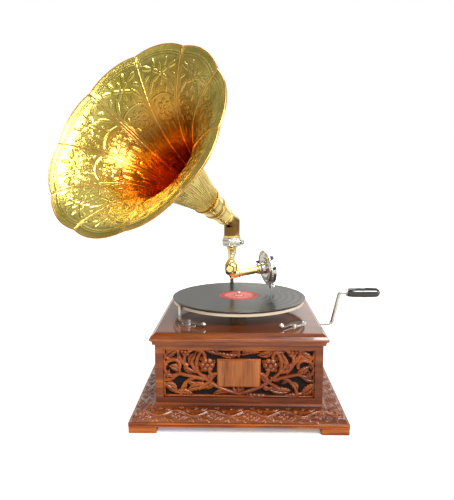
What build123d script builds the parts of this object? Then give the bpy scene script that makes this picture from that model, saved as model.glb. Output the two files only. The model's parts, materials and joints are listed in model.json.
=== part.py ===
"""Wind-up horn gramophone on a carved square case: each block below is one piece of the bench kit.

Millimetres, +Z up, +Y to the back. The origin is on the floor under the middle of the plinth.
"""

import os
from math import cos, radians, sin

from build123d import *

os.makedirs("parts", exist_ok=True)

# ---- driving dimensions -------------------------------------------------------------------------
PLINTH = 352.0  # side of the square plinth
BOX = 275.0  # side of the square case above it
COVE = 285.0  # side of the cove moulding under the lid board
LID_EDGE, LID_TOP = 292.4, 274.4  # lid board over its nosing, and over its flat top
FOOT, FOOT_H = 45.0, 10.0
Z_PLINTH, Z_COVE, Z_LID, Z_TOP = 35.0, 134.0, 141.0, 154.0
WALL = 10.0  # thickness of the case frames
STILE, RAIL = 13.0, 8.5  # widths of the frames' uprights and rails
FRET, FRET_SET, BACKING = 5.0, 2.5, 1.5  # fretwork thickness, its recess, and the dark board behind
PLAQUE_W, PLAQUE_H = 68.0, 44.0

SPINDLE = (0.0, 6.0)  # turntable axis
RECORD_R, LABEL_R, PLATTER_R = 125.0, 37.0, 122.0
Z_RECORD = 184.0  # top of the record
SPINDLE_R, SEAT_R, PIN_R, PIN_TOP = 4.0, 3.3, 3.55, 191.0
RUN = 0.05  # radial clearance of a running shaft
GAP = 0.3  # clearance between faces that pass each other

SWIVEL = (-15.0, 140.0)  # vertical axis shared by the horn and the tone arm
SOCKET_R, Z_SOCKET, SOCKET_H, LIP_H = 20.0, 261.0, 19.0, 4.0
NECK_R, SHEET = 17.0, 1.2  # horn tube at the elbow, and the brass sheet
MITRE = Vector(*SWIVEL, 312.0)  # where the upright tube turns into the horn's axis
HORN_AZIMUTH, HORN_RISE = 237.06, 28.18  # degrees
PETALS, PETAL_TURN = 10, 19.91
CUSP_R, PETAL_R, MOUTH_S = 173.5, 178.5, 336.0

CRANK_Y, CRANK_Z, CRANK_R, CRANK_THROW = 45.0, 119.0, 3.75, 62.6
ARM_Z, ARM_END_Y, ARM_DROP = 249.5, 18.0, 3.5  # tone arm: height at the swivel, front end, fall
TUBE_AZIMUTH, TUBE_RISE = 19.0, 7.5  # degrees: the short tube that carries the sound box
BOX_R, BOX_T = 32.5, 11.0  # sound box


def save(builder, name):
    """Label one finished piece and write it."""
    builder.part.label = name
    export_step(builder.part, f"parts/{name}.step")


def aim(azimuth, rise):
    """Unit vector at a compass turn from +X and a rise from level, both in degrees."""
    level = cos(radians(rise))
    return Vector(level * cos(radians(azimuth)), level * sin(radians(azimuth)), sin(radians(rise)))


# ---- plinth and feet ----------------------------------------------------------------------------
half_plinth, half_box = PLINTH / 2, BOX / 2
foot_at = half_plinth - FOOT / 2
with BuildPart() as corner_feet:
    with BuildSketch():
        with GridLocations(2 * foot_at, 2 * foot_at, 2, 2):
            RectangleRounded(FOOT, FOOT, 3)
    extrude(amount=FOOT_H)
save(corner_feet, "corner_feet")

RAIL_IN, BAND_H, LEDGE_OUT, LEDGE_H = 118.0, 7.0, 141.0, 2.5
for name, turn in (("front", 0), ("right", 90), ("back", 180), ("left", 270)):
    side = Plane.XY.rotated((0, 0, turn))
    profile = Plane(origin=(0, 0, 0), x_dir=-side.y_dir, z_dir=-side.x_dir)
    with BuildPart() as plinth_rail:
        with BuildSketch(profile):
            with BuildLine():
                bottom = Line((RAIL_IN, FOOT_H), (half_plinth, FOOT_H))
                band = Line(bottom @ 1, (half_plinth, FOOT_H + BAND_H))
                slope = ThreePointArc(band @ 1, (162, 26.5), (LEDGE_OUT, Z_PLINTH - LEDGE_H))
                step = Line(slope @ 1, (LEDGE_OUT - 1, Z_PLINTH))
                Polyline(step @ 1, (RAIL_IN, Z_PLINTH), bottom @ 0)
            make_face()
        extrude(amount=half_plinth, both=True)
        with BuildSketch(side):
            Polygon((0, 0), (-half_plinth, -half_plinth), (half_plinth, -half_plinth), align=None)
        extrude(amount=Z_PLINTH, mode=Mode.INTERSECT)
    save(plinth_rail, f"plinth_{name}")

inner = BOX - 2 * WALL
with BuildPart() as bottom_board:
    with BuildSketch(Plane.XY.offset(Z_PLINTH)):
        Rectangle(inner, inner)
    extrude(amount=8)
save(bottom_board, "bottom_board")

# ---- case: frames, fretwork, backings, back panel ------------------------------------------------
BOX_H = Z_COVE - Z_PLINTH
OPEN_H = BOX_H - 2 * RAIL
MID_Z = Z_PLINTH + BOX_H / 2
CRANK_BOSS, ESCUTCHEON_R = 17.0, 13.0


def wall_plane(turn):
    """Plane on a case wall's outer face: x along the wall, y up, z outwards."""
    side = Plane.XY.rotated((0, 0, turn))
    out = -side.y_dir
    return Plane(origin=out * half_box + Vector(0, 0, MID_Z), x_dir=side.x_dir, z_dir=out)


# Half of the vine pattern, for a panel 249 wide and 82 high about its middle: arcs of a stem.
VINES = [
    ((0, -36), (-40, -21), (-68, 2)),
    ((-68, 2), (-90, 22), (-80, 38)),
    ((-80, 38), (-62, 38), (-56, 24)),
    ((-57, -12), (-80, -6), (-100, -2)),
    ((-100, -2), (-123, 10), (-112, 21)),
    ((-112, 21), (-99, 18), (-98, 8)),
    ((-72, -8), (-86, -16), (-96, -38)),
    ((-104, -3), (-114, -12), (-123, -12)),
    ((-84, 12), (-98, 26), (-100, 40)),
    ((-45, -19), (-42, -4), (-34, -1)),
    ((-68, 2), (-70, 16), (-62, 36)),
    ((-112, 22), (-122, 28), (-124, 38)),
    ((-66, -27), (-58, -22), (-48, -15)),
    ((-78, 20), (-75, 10), (-69, 4)),
    ((-50, 8), (-47, -1), (-44, -8)),
]
LEAVES = [  # middle, length, width, turn in degrees
    (-66, -27, 38, 13, 8),
    (-113, -27, 30, 12, -40),
    (-110, 32, 30, 12, 35),
    (-20, 34, 34, 11, 5),
    (-44, -8, 20, 9, 40),
    (-105, 6, 22, 9, -30),
    (-76, 24, 24, 8, 62),
    (-30, -37, 40, 9, 0),
    (-120, -2, 12, 16, 0),
    (-44, 36, 26, 9, -20),
    (-96, -38, 26, 9, 0),
]
FLOWERS = [(-52, 13, 11), (-88, 38, 7)]
PANEL_W = BOX - 2 * STILE


def fret_sketch(width, plaque):
    """Pierced vine panel with a thin border, mirrored about its middle."""
    scale = width / PANEL_W
    border = 2.5
    Rectangle(width, OPEN_H)
    Rectangle(width - 2 * border, OPEN_H - 2 * border, mode=Mode.SUBTRACT)
    for side in (1, -1):
        for start, middle, end in VINES:
            with BuildLine() as stem:
                points = [(side * x * scale, z) for x, z in (start, middle, end)]
                ThreePointArc(*points)
            trace(stem.line, line_width=5)
        for x, z, long, wide, turn in LEAVES:
            with Locations(Location((side * x * scale, z), side * turn)):
                Ellipse(long / 2, wide / 2)
        for x, z, radius in FLOWERS:
            with Locations((side * x * scale, z)):
                Circle(radius)
    if plaque:
        Rectangle(PLAQUE_W + 4, PLAQUE_H + 4)
    else:
        Ellipse(34, 22)
    Rectangle(16, OPEN_H - border)
    Rectangle(width, OPEN_H, mode=Mode.INTERSECT)


walls = (("front", 0, BOX, True), ("right", 90, inner, False), ("left", 270, inner, False))
for name, turn, width, plaque in walls:
    face = wall_plane(turn)
    open_w = width - 2 * STILE
    crank = (CRANK_Y, CRANK_Z - MID_Z)
    bored = name == "right"
    with BuildPart() as frame:
        with BuildSketch(face):
            Rectangle(width, BOX_H)
            Rectangle(open_w, OPEN_H, mode=Mode.SUBTRACT)
            if bored:
                with Locations(crank):
                    Circle(CRANK_BOSS)
                Rectangle(width, BOX_H, mode=Mode.INTERSECT)
                with Locations(crank):
                    Circle(CRANK_R + 1, mode=Mode.SUBTRACT)
        extrude(amount=-WALL)
    save(frame, f"{name}_frame")
    with BuildPart() as fretwork:
        with BuildSketch(face.offset(-FRET_SET)):
            fret_sketch(open_w, plaque)
            if bored:
                with Locations(crank):
                    Circle(CRANK_BOSS, mode=Mode.SUBTRACT)
        extrude(amount=-FRET)
    save(fretwork, f"{name}_fretwork")

with BuildPart() as fret_backings:
    for name, turn, width, plaque in walls:
        with BuildSketch(wall_plane(turn).offset(-FRET_SET - FRET)):
            Rectangle(width - 2 * STILE, OPEN_H)
            if name == "right":
                with Locations((CRANK_Y, CRANK_Z - MID_Z)):
                    Circle(CRANK_BOSS, mode=Mode.SUBTRACT)
        extrude(amount=-BACKING)
save(fret_backings, "fret_backings")

PLAQUE_T = 1.5
with BuildPart() as name_plaque:
    with BuildSketch(wall_plane(0).offset(-FRET_SET)):
        Rectangle(PLAQUE_W, PLAQUE_H)
    extrude(amount=PLAQUE_T)
    chamfer(name_plaque.faces().sort_by(Axis.Y)[0].edges(), 0.5)
save(name_plaque, "name_plaque")

# The horn bracket's four screws hold through the back panel.
SCREW_R, SCREW_HEAD_R, SCREW_HEAD = 2.25, 4.2, 2.5
BRACKET_T = 4.0
bracket_holes = [Location((sx * 13, sz * 18)) for sx in (1, -1) for sz in (1, -1)]
back_face = wall_plane(180)
BRACKET_Z = 92.0
bracket_face = Plane(origin=(SWIVEL[0], half_box, BRACKET_Z), x_dir=(-1, 0, 0), z_dir=(0, 1, 0))
with BuildPart() as back_panel:
    with BuildSketch(back_face):
        Rectangle(BOX, BOX_H)
    extrude(amount=-WALL)
    with BuildSketch(bracket_face):
        with Locations(*bracket_holes):
            Circle(SCREW_R)
    extrude(amount=-WALL, mode=Mode.SUBTRACT)
save(back_panel, "back_panel")

with BuildPart() as crank_escutcheon:
    with BuildSketch(wall_plane(90)):
        with Locations((CRANK_Y, CRANK_Z - MID_Z)):
            Circle(ESCUTCHEON_R)
            Circle(CRANK_R + 0.6, mode=Mode.SUBTRACT)
    extrude(amount=2)
    chamfer(crank_escutcheon.faces().sort_by(Axis.X)[-1].edges().sort_by(SortBy.LENGTH)[-1], 0.8)
save(crank_escutcheon, "crank_escutcheon")

# ---- cove moulding and lid board ----------------------------------------------------------------
with BuildPart() as cornice:
    with BuildSketch(Plane.XY.offset(Z_COVE)):
        Rectangle(COVE - 3, COVE - 3)
    with BuildSketch(Plane.XY.offset(Z_LID)):
        Rectangle(COVE, COVE)
    loft()
    with BuildSketch(Plane.XY.offset(Z_COVE)):
        Rectangle(inner, inner)
    extrude(amount=Z_LID - Z_COVE, mode=Mode.SUBTRACT)
save(cornice, "cornice")

PLATE_X, PLATE_Y, PLATE_W, PLATE_D, PLATE_T = 10.0, 30.0, 150.0, 130.0, 3.0
plate_centre = Location((PLATE_X, PLATE_Y))
motor_screw_spots = [(PLATE_X, PLATE_Y - 59), (PLATE_X, PLATE_Y + 59)]
motor_screw_spots += [(PLATE_X - 69, PLATE_Y), (PLATE_X + 69, PLATE_Y)]
SPEED_PIVOT, SPEED_SHAFT_R = (92.0, -92.0), 3.0
BRAKE_PIVOT, BRAKE_POST_R = (-86.0, -92.0), 3.0
NOSE_H, STEP_H = 4.5, 1.4  # the lid board's rounded nosing, and the step up to its flat top
with BuildPart() as top_board:
    with BuildSketch(Plane.XY.offset(Z_LID)):
        RectangleRounded(LID_EDGE, LID_EDGE, 3)
    extrude(amount=NOSE_H)
    rims = top_board.faces().filter_by(Axis.Z).sort_by(Axis.Z)
    fillet(rims[0].edges() + rims[-1].edges(), 1.6)
    nose_top, swell_top = LID_EDGE - 3.4, LID_EDGE - 8
    mouldings = ((Z_LID + NOSE_H, nose_top), (Z_LID + 8.2, swell_top), (Z_TOP - STEP_H, LID_TOP + 1))
    for (low, wide), (high, narrow) in zip(mouldings, mouldings[1:]):
        with BuildSketch(Plane.XY.offset(low)):
            Rectangle(wide, wide)
        with BuildSketch(Plane.XY.offset(high)):
            Rectangle(narrow, narrow)
        loft()
    with BuildSketch(Plane.XY.offset(Z_TOP - STEP_H)):
        Rectangle(LID_TOP, LID_TOP)
    extrude(amount=STEP_H)
    chamfer(top_board.faces().sort_by(Axis.Z)[-1].edges(), 0.5)
    with BuildSketch(Plane.XY.offset(Z_LID)):
        with Locations(SPINDLE):
            Circle(8)
        with Locations(SPEED_PIVOT):
            Circle(SPEED_SHAFT_R + RUN)
    extrude(amount=Z_TOP - Z_LID, mode=Mode.SUBTRACT)
    with Locations(*[(x, y, Z_TOP) for x, y in motor_screw_spots]):
        CounterBoreHole(SCREW_R, SCREW_HEAD_R, SCREW_HEAD)
save(top_board, "top_board")

# ---- spring motor: fixed plates -----------------------------------------------------------------
Z_PLATE, Z_BASE = Z_LID - PLATE_T, 68.0
MODULE, PINION_TEETH, BARREL_TEETH = 1.5, 14, 56
pinion_r, gear_r = MODULE * PINION_TEETH / 2, MODULE * BARREL_TEETH / 2
ARBOR_Y = CRANK_Y
ARBOR_X = ((pinion_r + gear_r) ** 2 - (ARBOR_Y - SPINDLE[1]) ** 2) ** 0.5
ARBOR_R = 4.0
BEARING_X, BEARING_T = 60.0, 8.0  # the lug under the motor plate that carries the crank
WORM_R, WHEEL_R, GOVERNOR_Z, GOV_R = 4.0, 12.0, 94.0, 2.0
GOVERNOR_Y = SPINDLE[1] - WORM_R - WHEEL_R - GAP
with BuildPart() as motor_plate:
    with BuildSketch(Plane.XY.offset(Z_PLATE)):
        with Locations(plate_centre):
            RectangleRounded(PLATE_W, PLATE_D, 6)
    extrude(amount=PLATE_T)
    with BuildSketch(Plane.XY.offset(Z_PLATE)):
        with Locations(SPINDLE):
            Circle(9)
    extrude(amount=-8)
    with BuildSketch(Plane.XY.offset(Z_LID)):
        with Locations(SPINDLE):
            Circle(SPINDLE_R + RUN)
        with Locations((ARBOR_X, ARBOR_Y)):
            Circle(ARBOR_R + RUN)
        with Locations(*motor_screw_spots):
            Circle(SCREW_R)
    extrude(amount=-12, mode=Mode.SUBTRACT)
    with BuildSketch(Plane.YZ.offset(BEARING_X)):
        with Locations((CRANK_Y, CRANK_Z)):
            Circle(9)
            Rectangle(18, Z_PLATE - CRANK_Z, align=(Align.CENTER, Align.MIN))
            Circle(CRANK_R + RUN, mode=Mode.SUBTRACT)
    extrude(amount=BEARING_T)
save(motor_plate, "motor_plate")

with BuildPart() as motor_base_plate:
    with BuildSketch(Plane.XY.offset(Z_BASE)):
        with Locations(plate_centre):
            RectangleRounded(PLATE_W, PLATE_D, 6)
    extrude(amount=PLATE_T)
    with BuildSketch(Plane.XY.offset(Z_BASE)):
        with Locations(SPINDLE):
            Circle(9)
    extrude(amount=-6)
    with BuildSketch(Plane.XY.offset(Z_BASE + PLATE_T)):
        with Locations(SPINDLE):
            Circle(SPINDLE_R + RUN)
        with Locations((ARBOR_X, ARBOR_Y)):
            Circle(ARBOR_R + RUN)
    extrude(amount=-6, mode=Mode.SUBTRACT)
save(motor_base_plate, "motor_base_plate")

with BuildPart() as motor_pillars:
    with BuildSketch(Plane.XY.offset(Z_BASE + PLATE_T)):
        with Locations(plate_centre):
            with GridLocations(PLATE_W - 16, PLATE_D - 16, 2, 2):
                Circle(4)
    extrude(amount=Z_PLATE - Z_BASE - PLATE_T)
save(motor_pillars, "motor_pillars")

with BuildPart() as motor_screws:
    for x, y in motor_screw_spots:
        with BuildSketch(Plane.XY.offset(Z_PLATE)):
            with Locations((x, y)):
                Circle(SCREW_R)
        extrude(amount=Z_TOP - Z_PLATE)
        with BuildSketch(Plane.XY.offset(Z_TOP - SCREW_HEAD)):
            with Locations((x, y)):
                Circle(SCREW_HEAD_R)
        extrude(amount=SCREW_HEAD)
        with BuildSketch(Plane.XY.offset(Z_TOP)):
            with Locations((x, y)):
                Rectangle(2 * SCREW_HEAD_R, 1.2)
        extrude(amount=-1, mode=Mode.SUBTRACT)
save(motor_screws, "motor_screws")

GOV_LEFT, GOV_RIGHT, POST_T = -58.0, 28.0, 4.0
with BuildPart() as governor_brackets:
    with BuildSketch(Plane.XY.offset(Z_BASE + PLATE_T)):
        with Locations((GOV_LEFT, GOVERNOR_Y), (GOV_RIGHT, GOVERNOR_Y)):
            Rectangle(POST_T, 12)
    extrude(amount=GOVERNOR_Z + 7 - Z_BASE - PLATE_T)
    with BuildSketch(Plane.YZ.offset(GOV_LEFT - POST_T)):
        with Locations((GOVERNOR_Y, GOVERNOR_Z)):
            Circle(GOV_R + RUN)
    extrude(amount=GOV_RIGHT - GOV_LEFT + 2 * POST_T, mode=Mode.SUBTRACT)
save(governor_brackets, "governor_brackets")


# ---- gears --------------------------------------------------------------------------------------
def gear_sketch(teeth, start):
    """Loose-fitting spur gear outline: narrow tapered teeth on a root disc, first one at `start`."""
    pitch_r = MODULE * teeth / 2
    root, tip = pitch_r - 1.1 * MODULE / 1.5, pitch_r + 0.9 * MODULE / 1.5
    Circle(root)
    with PolarLocations(0, teeth, start_angle=start):
        Polygon((root - 1, -0.9), (root - 1, 0.9), (tip, 0.45), (tip, -0.45), align=None)


# ---- turntable ----------------------------------------------------------------------------------
turn_axis = Plane(origin=(*SPINDLE, 0))
FELT, RECORD_T = 2.0, 2.5
Z_FELT = Z_RECORD - RECORD_T - FELT
RIM_H = 4.8  # the platter's turned-down rim
Z_PIN = Z_RECORD + 0.5  # the pin is relieved below this, where the record sits
with BuildPart() as spindle:
    with BuildSketch(turn_axis.offset(Z_BASE - 2)):
        Circle(SPINDLE_R)
    extrude(amount=Z_FELT - Z_BASE + 2)
    with BuildSketch(turn_axis.offset(Z_FELT)):
        Circle(SEAT_R)
    extrude(amount=Z_PIN - Z_FELT)
    with BuildSketch(turn_axis.offset(Z_PIN)):
        Circle(PIN_R)
    extrude(amount=PIN_TOP - Z_PIN)
    fillet(spindle.faces().sort_by(Axis.Z)[-1].edges(), 1.5)
save(spindle, "spindle")

with BuildPart() as platter:
    with BuildSketch(Plane(origin=(*SPINDLE, 0), x_dir=(1, 0, 0), z_dir=(0, -1, 0))):
        with BuildLine():
            Polyline(
                (SPINDLE_R, 161),
                (14, 161),
                (14, Z_FELT - 3.5),
                (PLATTER_R - 2, Z_FELT - 2),
                (PLATTER_R - 2, Z_FELT - RIM_H),
                (PLATTER_R, Z_FELT - RIM_H),
                (PLATTER_R, Z_FELT),
                (SPINDLE_R, Z_FELT),
                close=True,
            )
        make_face()
    revolve(axis=Axis((*SPINDLE, 0), (0, 0, 1)))
save(platter, "platter")

with BuildPart() as felt_mat:
    with BuildSketch(turn_axis.offset(Z_FELT)):
        Circle(PLATTER_R - 1)
        Circle(SPINDLE_R, mode=Mode.SUBTRACT)
    extrude(amount=FELT)
save(felt_mat, "felt_mat")

LABEL_T, HOLE_R = 0.3, 3.62
with BuildPart() as record:
    with BuildSketch(turn_axis.offset(Z_FELT + FELT)):
        Circle(RECORD_R)
        Circle(HOLE_R, mode=Mode.SUBTRACT)
    extrude(amount=RECORD_T)
    fillet(record.edges().filter_by(GeomType.CIRCLE).group_by(SortBy.RADIUS)[-1], 1.0)
    with BuildSketch(turn_axis.offset(Z_RECORD)):
        Circle(LABEL_R)
    extrude(amount=-LABEL_T, mode=Mode.SUBTRACT)
save(record, "record")

with BuildPart() as record_label:
    with BuildSketch(turn_axis.offset(Z_RECORD)):
        Circle(LABEL_R)
        Circle(HOLE_R, mode=Mode.SUBTRACT)
    extrude(amount=-LABEL_T)
save(record_label, "record_label")

Z_GEAR, GEAR_T, WHEEL_TEETH = 74.0, 5.0, 24
mesh_angle = Vector(ARBOR_X - SPINDLE[0], ARBOR_Y - SPINDLE[1], 0).get_signed_angle(
    Vector(1, 0, 0), Vector(0, 0, -1)
)
with BuildPart() as spindle_gears:
    with BuildSketch(turn_axis.offset(Z_GEAR - 1)):
        gear_sketch(PINION_TEETH, mesh_angle)
    extrude(amount=GEAR_T + 2)
    with BuildSketch(turn_axis.offset(GOVERNOR_Z - 4)):
        Circle(WHEEL_R)
        with PolarLocations(WHEEL_R, WHEEL_TEETH):
            Rectangle(1.2, 1.2, mode=Mode.SUBTRACT)
    extrude(amount=8)
    with BuildSketch(turn_axis.offset(Z_GEAR)):
        Circle(SPINDLE_R + 2)
    extrude(amount=GOVERNOR_Z - Z_GEAR)
    with BuildSketch(turn_axis.offset(Z_GEAR - 1)):
        Circle(SPINDLE_R)
    extrude(amount=GOVERNOR_Z + 5 - Z_GEAR, mode=Mode.SUBTRACT)
save(spindle_gears, "spindle_gears")

# ---- spring barrel ------------------------------------------------------------------------------
arbor_axis = Plane(origin=(ARBOR_X, ARBOR_Y, 0))
DRUM_R, DRUM_TOP, DRUM_WALL = 38.0, 104.0, 1.5
half_tooth = 180 / BARREL_TEETH
with BuildPart() as spring_barrel:
    with BuildSketch(arbor_axis.offset(Z_GEAR)):
        gear_sketch(BARREL_TEETH, mesh_angle + 180 + half_tooth)
    extrude(amount=GEAR_T)
    with BuildSketch(arbor_axis.offset(Z_GEAR + GEAR_T)):
        Circle(DRUM_R)
    extrude(amount=DRUM_TOP - Z_GEAR - GEAR_T)
    with BuildSketch(arbor_axis.offset(DRUM_TOP)):
        Circle(DRUM_R - DRUM_WALL)
    extrude(amount=-(DRUM_TOP - Z_GEAR - GEAR_T - 2), mode=Mode.SUBTRACT)
    with BuildSketch(arbor_axis.offset(Z_GEAR)):
        Circle(ARBOR_R + RUN)
    extrude(amount=GEAR_T + 2, mode=Mode.SUBTRACT)
save(spring_barrel, "spring_barrel")

with BuildPart() as barrel_cover:
    with BuildSketch(arbor_axis.offset(DRUM_TOP)):
        Circle(DRUM_R)
        Circle(ARBOR_R + RUN, mode=Mode.SUBTRACT)
    extrude(amount=2)
save(barrel_cover, "barrel_cover")

SPRING_T, SPRING_STEP, SPRING_IN, SPRING_HALVES = 0.9, 1.2, 9.0, 21
with BuildPart() as mainspring:
    with BuildSketch(arbor_axis.offset(Z_GEAR + GEAR_T + 3)):
        for half in range(SPRING_HALVES):
            radius = SPRING_IN + half * SPRING_STEP
            up = 1 if half % 2 == 0 else -1
            shift = 0 if up == 1 else SPRING_STEP
            with BuildLine():
                outer = CenterArc((shift, 0), radius + SPRING_T, 0, 180 * up)
                inside = CenterArc((shift, 0), radius, 0, 180 * up)
                Line(outer @ 0, inside @ 0)
                Line(outer @ 1, inside @ 1)
            make_face()
    extrude(amount=DRUM_TOP - Z_GEAR - GEAR_T - 4)
save(mainspring, "mainspring")

# ---- winding arbor with its crown wheel ---------------------------------------------------------
CROWN_R, CROWN_T, WIND_PINION_R = 22.0, 3.0, 8.0
Z_CROWN = CRANK_Z - WIND_PINION_R - GAP
with BuildPart() as winding_arbor:
    with BuildSketch(arbor_axis.offset(Z_BASE)):
        Circle(ARBOR_R)
    extrude(amount=Z_LID - Z_BASE)
    with BuildSketch(arbor_axis.offset(Z_CROWN)):
        Circle(CROWN_R)
    extrude(amount=-CROWN_T)
    with BuildSketch(arbor_axis.offset(Z_CROWN)):
        with PolarLocations(CROWN_R - 5, 36):
            Rectangle(10, 1.2)
    extrude(amount=-1, mode=Mode.SUBTRACT)
save(winding_arbor, "winding_arbor")

# ---- governor -----------------------------------------------------------------------------------
governor_axis = Axis((0, GOVERNOR_Y, GOVERNOR_Z), (1, 0, 0))
GOV_DISC_R, COLLAR_R = 16.0, 5.0
DISC_X, COLLAR_X, SLIDER_X, COLLAR_W = -50.0, -44.0, -16.0, 4.0
governor_plane = Plane(origin=(0, GOVERNOR_Y, GOVERNOR_Z), x_dir=(1, 0, 0), z_dir=(0, -1, 0))
with BuildPart() as governor_shaft:
    with BuildSketch(governor_plane):
        with Locations(((GOV_LEFT + GOV_RIGHT) / 2, 0)):
            Rectangle(GOV_RIGHT - GOV_LEFT + POST_T, GOV_R, align=(Align.CENTER, Align.MIN))
        with Locations((COLLAR_X, 0), (SLIDER_X, 0)):
            Rectangle(COLLAR_W, COLLAR_R, align=(Align.MIN, Align.MIN))
        with Locations((DISC_X, 0)):
            Rectangle(2, GOV_DISC_R, align=(Align.MIN, Align.MIN))
        for turn in range(5):
            with Locations((-9 + 4 * turn, 0)):
                Rectangle(2.2, WORM_R, align=(Align.MIN, Align.MIN))
        Rectangle(20, WORM_R - 1, align=(Align.CENTER, Align.MIN))
    revolve(axis=governor_axis)
save(governor_shaft, "governor_shaft")

WEIGHT_R, WEIGHT_OUT, LEAF = 5.0, 13.0, 0.8
left_x, right_x = COLLAR_X + COLLAR_W / 2, SLIDER_X + COLLAR_W / 2
weight_x = (left_x + right_x) / 2
with BuildPart() as governor_weights:
    for turn in (30, 150, 270):
        spoke = Plane(governor_plane.location * Location((0, 0, 0), (turn, 0, 0)))
        with BuildSketch(spoke):
            with BuildLine():
                Polyline(
                    (left_x - 2, COLLAR_R),
                    (left_x, COLLAR_R),
                    (weight_x, WEIGHT_OUT - LEAF),
                    (right_x, COLLAR_R),
                    (right_x + 2, COLLAR_R),
                    (right_x + 2, COLLAR_R + LEAF),
                    (right_x, COLLAR_R + LEAF),
                    (weight_x, WEIGHT_OUT),
                    (left_x, COLLAR_R + LEAF),
                    (left_x - 2, COLLAR_R + LEAF),
                    close=True,
                )
            make_face()
        extrude(amount=2, both=True)
        with Locations(spoke.location * Location((weight_x, WEIGHT_OUT, 0))):
            Sphere(WEIGHT_R)
save(governor_weights, "governor_weights")

# ---- crank --------------------------------------------------------------------------------------
CRANK_IN, BEND_X, LEAN, GRIP_X, GRIP_L = 46.0, 184.0, 14.0, 212.5, 64.5
GRIP_Z = CRANK_Z + CRANK_THROW
with BuildPart() as crank_rod:
    with BuildLine():
        FilletPolyline(
            (CRANK_IN, CRANK_Y, CRANK_Z),
            (BEND_X, CRANK_Y, CRANK_Z),
            (BEND_X + LEAN, CRANK_Y, GRIP_Z),
            (GRIP_X + GRIP_L - 5, CRANK_Y, GRIP_Z),
            radius=7,
        )
    with BuildSketch(Plane.YZ.offset(CRANK_IN)):
        with Locations((CRANK_Y, CRANK_Z)):
            Circle(CRANK_R)
    sweep()
    with BuildSketch(Plane.YZ.offset(GRIP_X - GAP)):
        with Locations((CRANK_Y, GRIP_Z)):
            Circle(6)
    extrude(amount=-2)
save(crank_rod, "crank_rod")

with BuildPart() as winding_pinion:
    with BuildSketch(Plane.YZ.offset(CRANK_IN + 1)):
        with Locations((CRANK_Y, CRANK_Z)):
            Circle(WIND_PINION_R)
            with PolarLocations(WIND_PINION_R, 13):
                Rectangle(2, 1.4, mode=Mode.SUBTRACT)
            Circle(CRANK_R, mode=Mode.SUBTRACT)
    extrude(amount=10)
save(winding_pinion, "winding_pinion")

GRIP_R = 9.7
with BuildPart() as crank_handle:
    with BuildSketch(Plane(origin=(GRIP_X, CRANK_Y, GRIP_Z), x_dir=(1, 0, 0), z_dir=(0, -1, 0))):
        with BuildLine():
            start = Line((0, 0), (0, 6.5))
            swell_points = (start @ 1, (5, 8.8), (26, GRIP_R), (GRIP_L - 8, 9.2))
            swell = Spline(*swell_points, tangents=((0.5, 1), (1, -0.06)))
            nose = RadiusArc(swell @ 1, (GRIP_L, 2), 9.5)
            Polyline(nose @ 1, (GRIP_L, 0), start @ 0)
        make_face()
    revolve(axis=Axis((GRIP_X, CRANK_Y, GRIP_Z), (1, 0, 0)))
    with BuildSketch(Plane.YZ.offset(GRIP_X)):
        with Locations((CRANK_Y, GRIP_Z)):
            Circle(CRANK_R + RUN)
    extrude(amount=GRIP_L - 4.5, mode=Mode.SUBTRACT)
save(crank_handle, "crank_handle")

# ---- brake and speed control --------------------------------------------------------------------
Z_LEVER, LEVER_T, PAD_TOP = 159.0, 2.5, 180.0
with BuildPart() as brake_base:
    with BuildSketch(Plane.XY.offset(Z_TOP)):
        with Locations(Location(BRAKE_PIVOT, -20)):
            RectangleRounded(30, 13, 4)
    extrude(amount=1.5)
    with BuildSketch(Plane.XY.offset(Z_TOP)):
        with Locations(BRAKE_PIVOT):
            Circle(5)
    extrude(amount=Z_LEVER - Z_TOP - GAP)
    with BuildSketch(Plane.XY.offset(Z_TOP)):
        with Locations(BRAKE_PIVOT):
            Circle(BRAKE_POST_R)
    extrude(amount=Z_LEVER + LEVER_T + GAP - Z_TOP)
    with BuildSketch(Plane.XY.offset(Z_LEVER + LEVER_T + GAP)):
        with Locations(BRAKE_PIVOT):
            Circle(4.6)
    extrude(amount=2)
save(brake_base, "brake_base")

pivot = Vector(*BRAKE_PIVOT)
pad_end, knob_end = pivot + Vector(-18.5, 26), pivot + Vector(27, -18)
KNOB_R = 4.0
with BuildPart() as brake_lever:
    with BuildSketch(Plane.XY.offset(Z_LEVER)):
        with BuildLine() as bar:
            elbow = pivot + Vector(-13, 5)
            FilletPolyline(pad_end, elbow, pivot, knob_end, radius=6)
        trace(bar.line, line_width=6)
        with Locations(BRAKE_PIVOT):
            Circle(6)
            Circle(BRAKE_POST_R + RUN, mode=Mode.SUBTRACT)
    extrude(amount=LEVER_T)
    with BuildSketch(Plane.XY.offset(Z_LEVER)):
        with Locations(Location(pad_end, -55)):
            Rectangle(5, 2)
    extrude(amount=PAD_TOP - Z_LEVER)
    with Locations((knob_end.X, knob_end.Y, Z_LEVER + LEVER_T / 2)):
        Sphere(KNOB_R)
save(brake_lever, "brake_lever")

with BuildPart() as brake_pad:
    with BuildSketch(Plane.XY.offset(PAD_TOP)):
        with Locations(Location(pad_end, -55)):
            with Locations((0, 2)):
                Rectangle(8, 2)
    extrude(amount=-8)
save(brake_pad, "brake_pad")

with BuildPart() as speed_dial:
    with BuildSketch(Plane.XY.offset(Z_TOP)):
        with Locations(Location((100.0, -84.0), 40)):
            RectangleRounded(36, 18, 4)
        with Locations(SPEED_PIVOT):
            Circle(SPEED_SHAFT_R + RUN, mode=Mode.SUBTRACT)
    extrude(amount=1.5)
save(speed_dial, "speed_dial")

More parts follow.
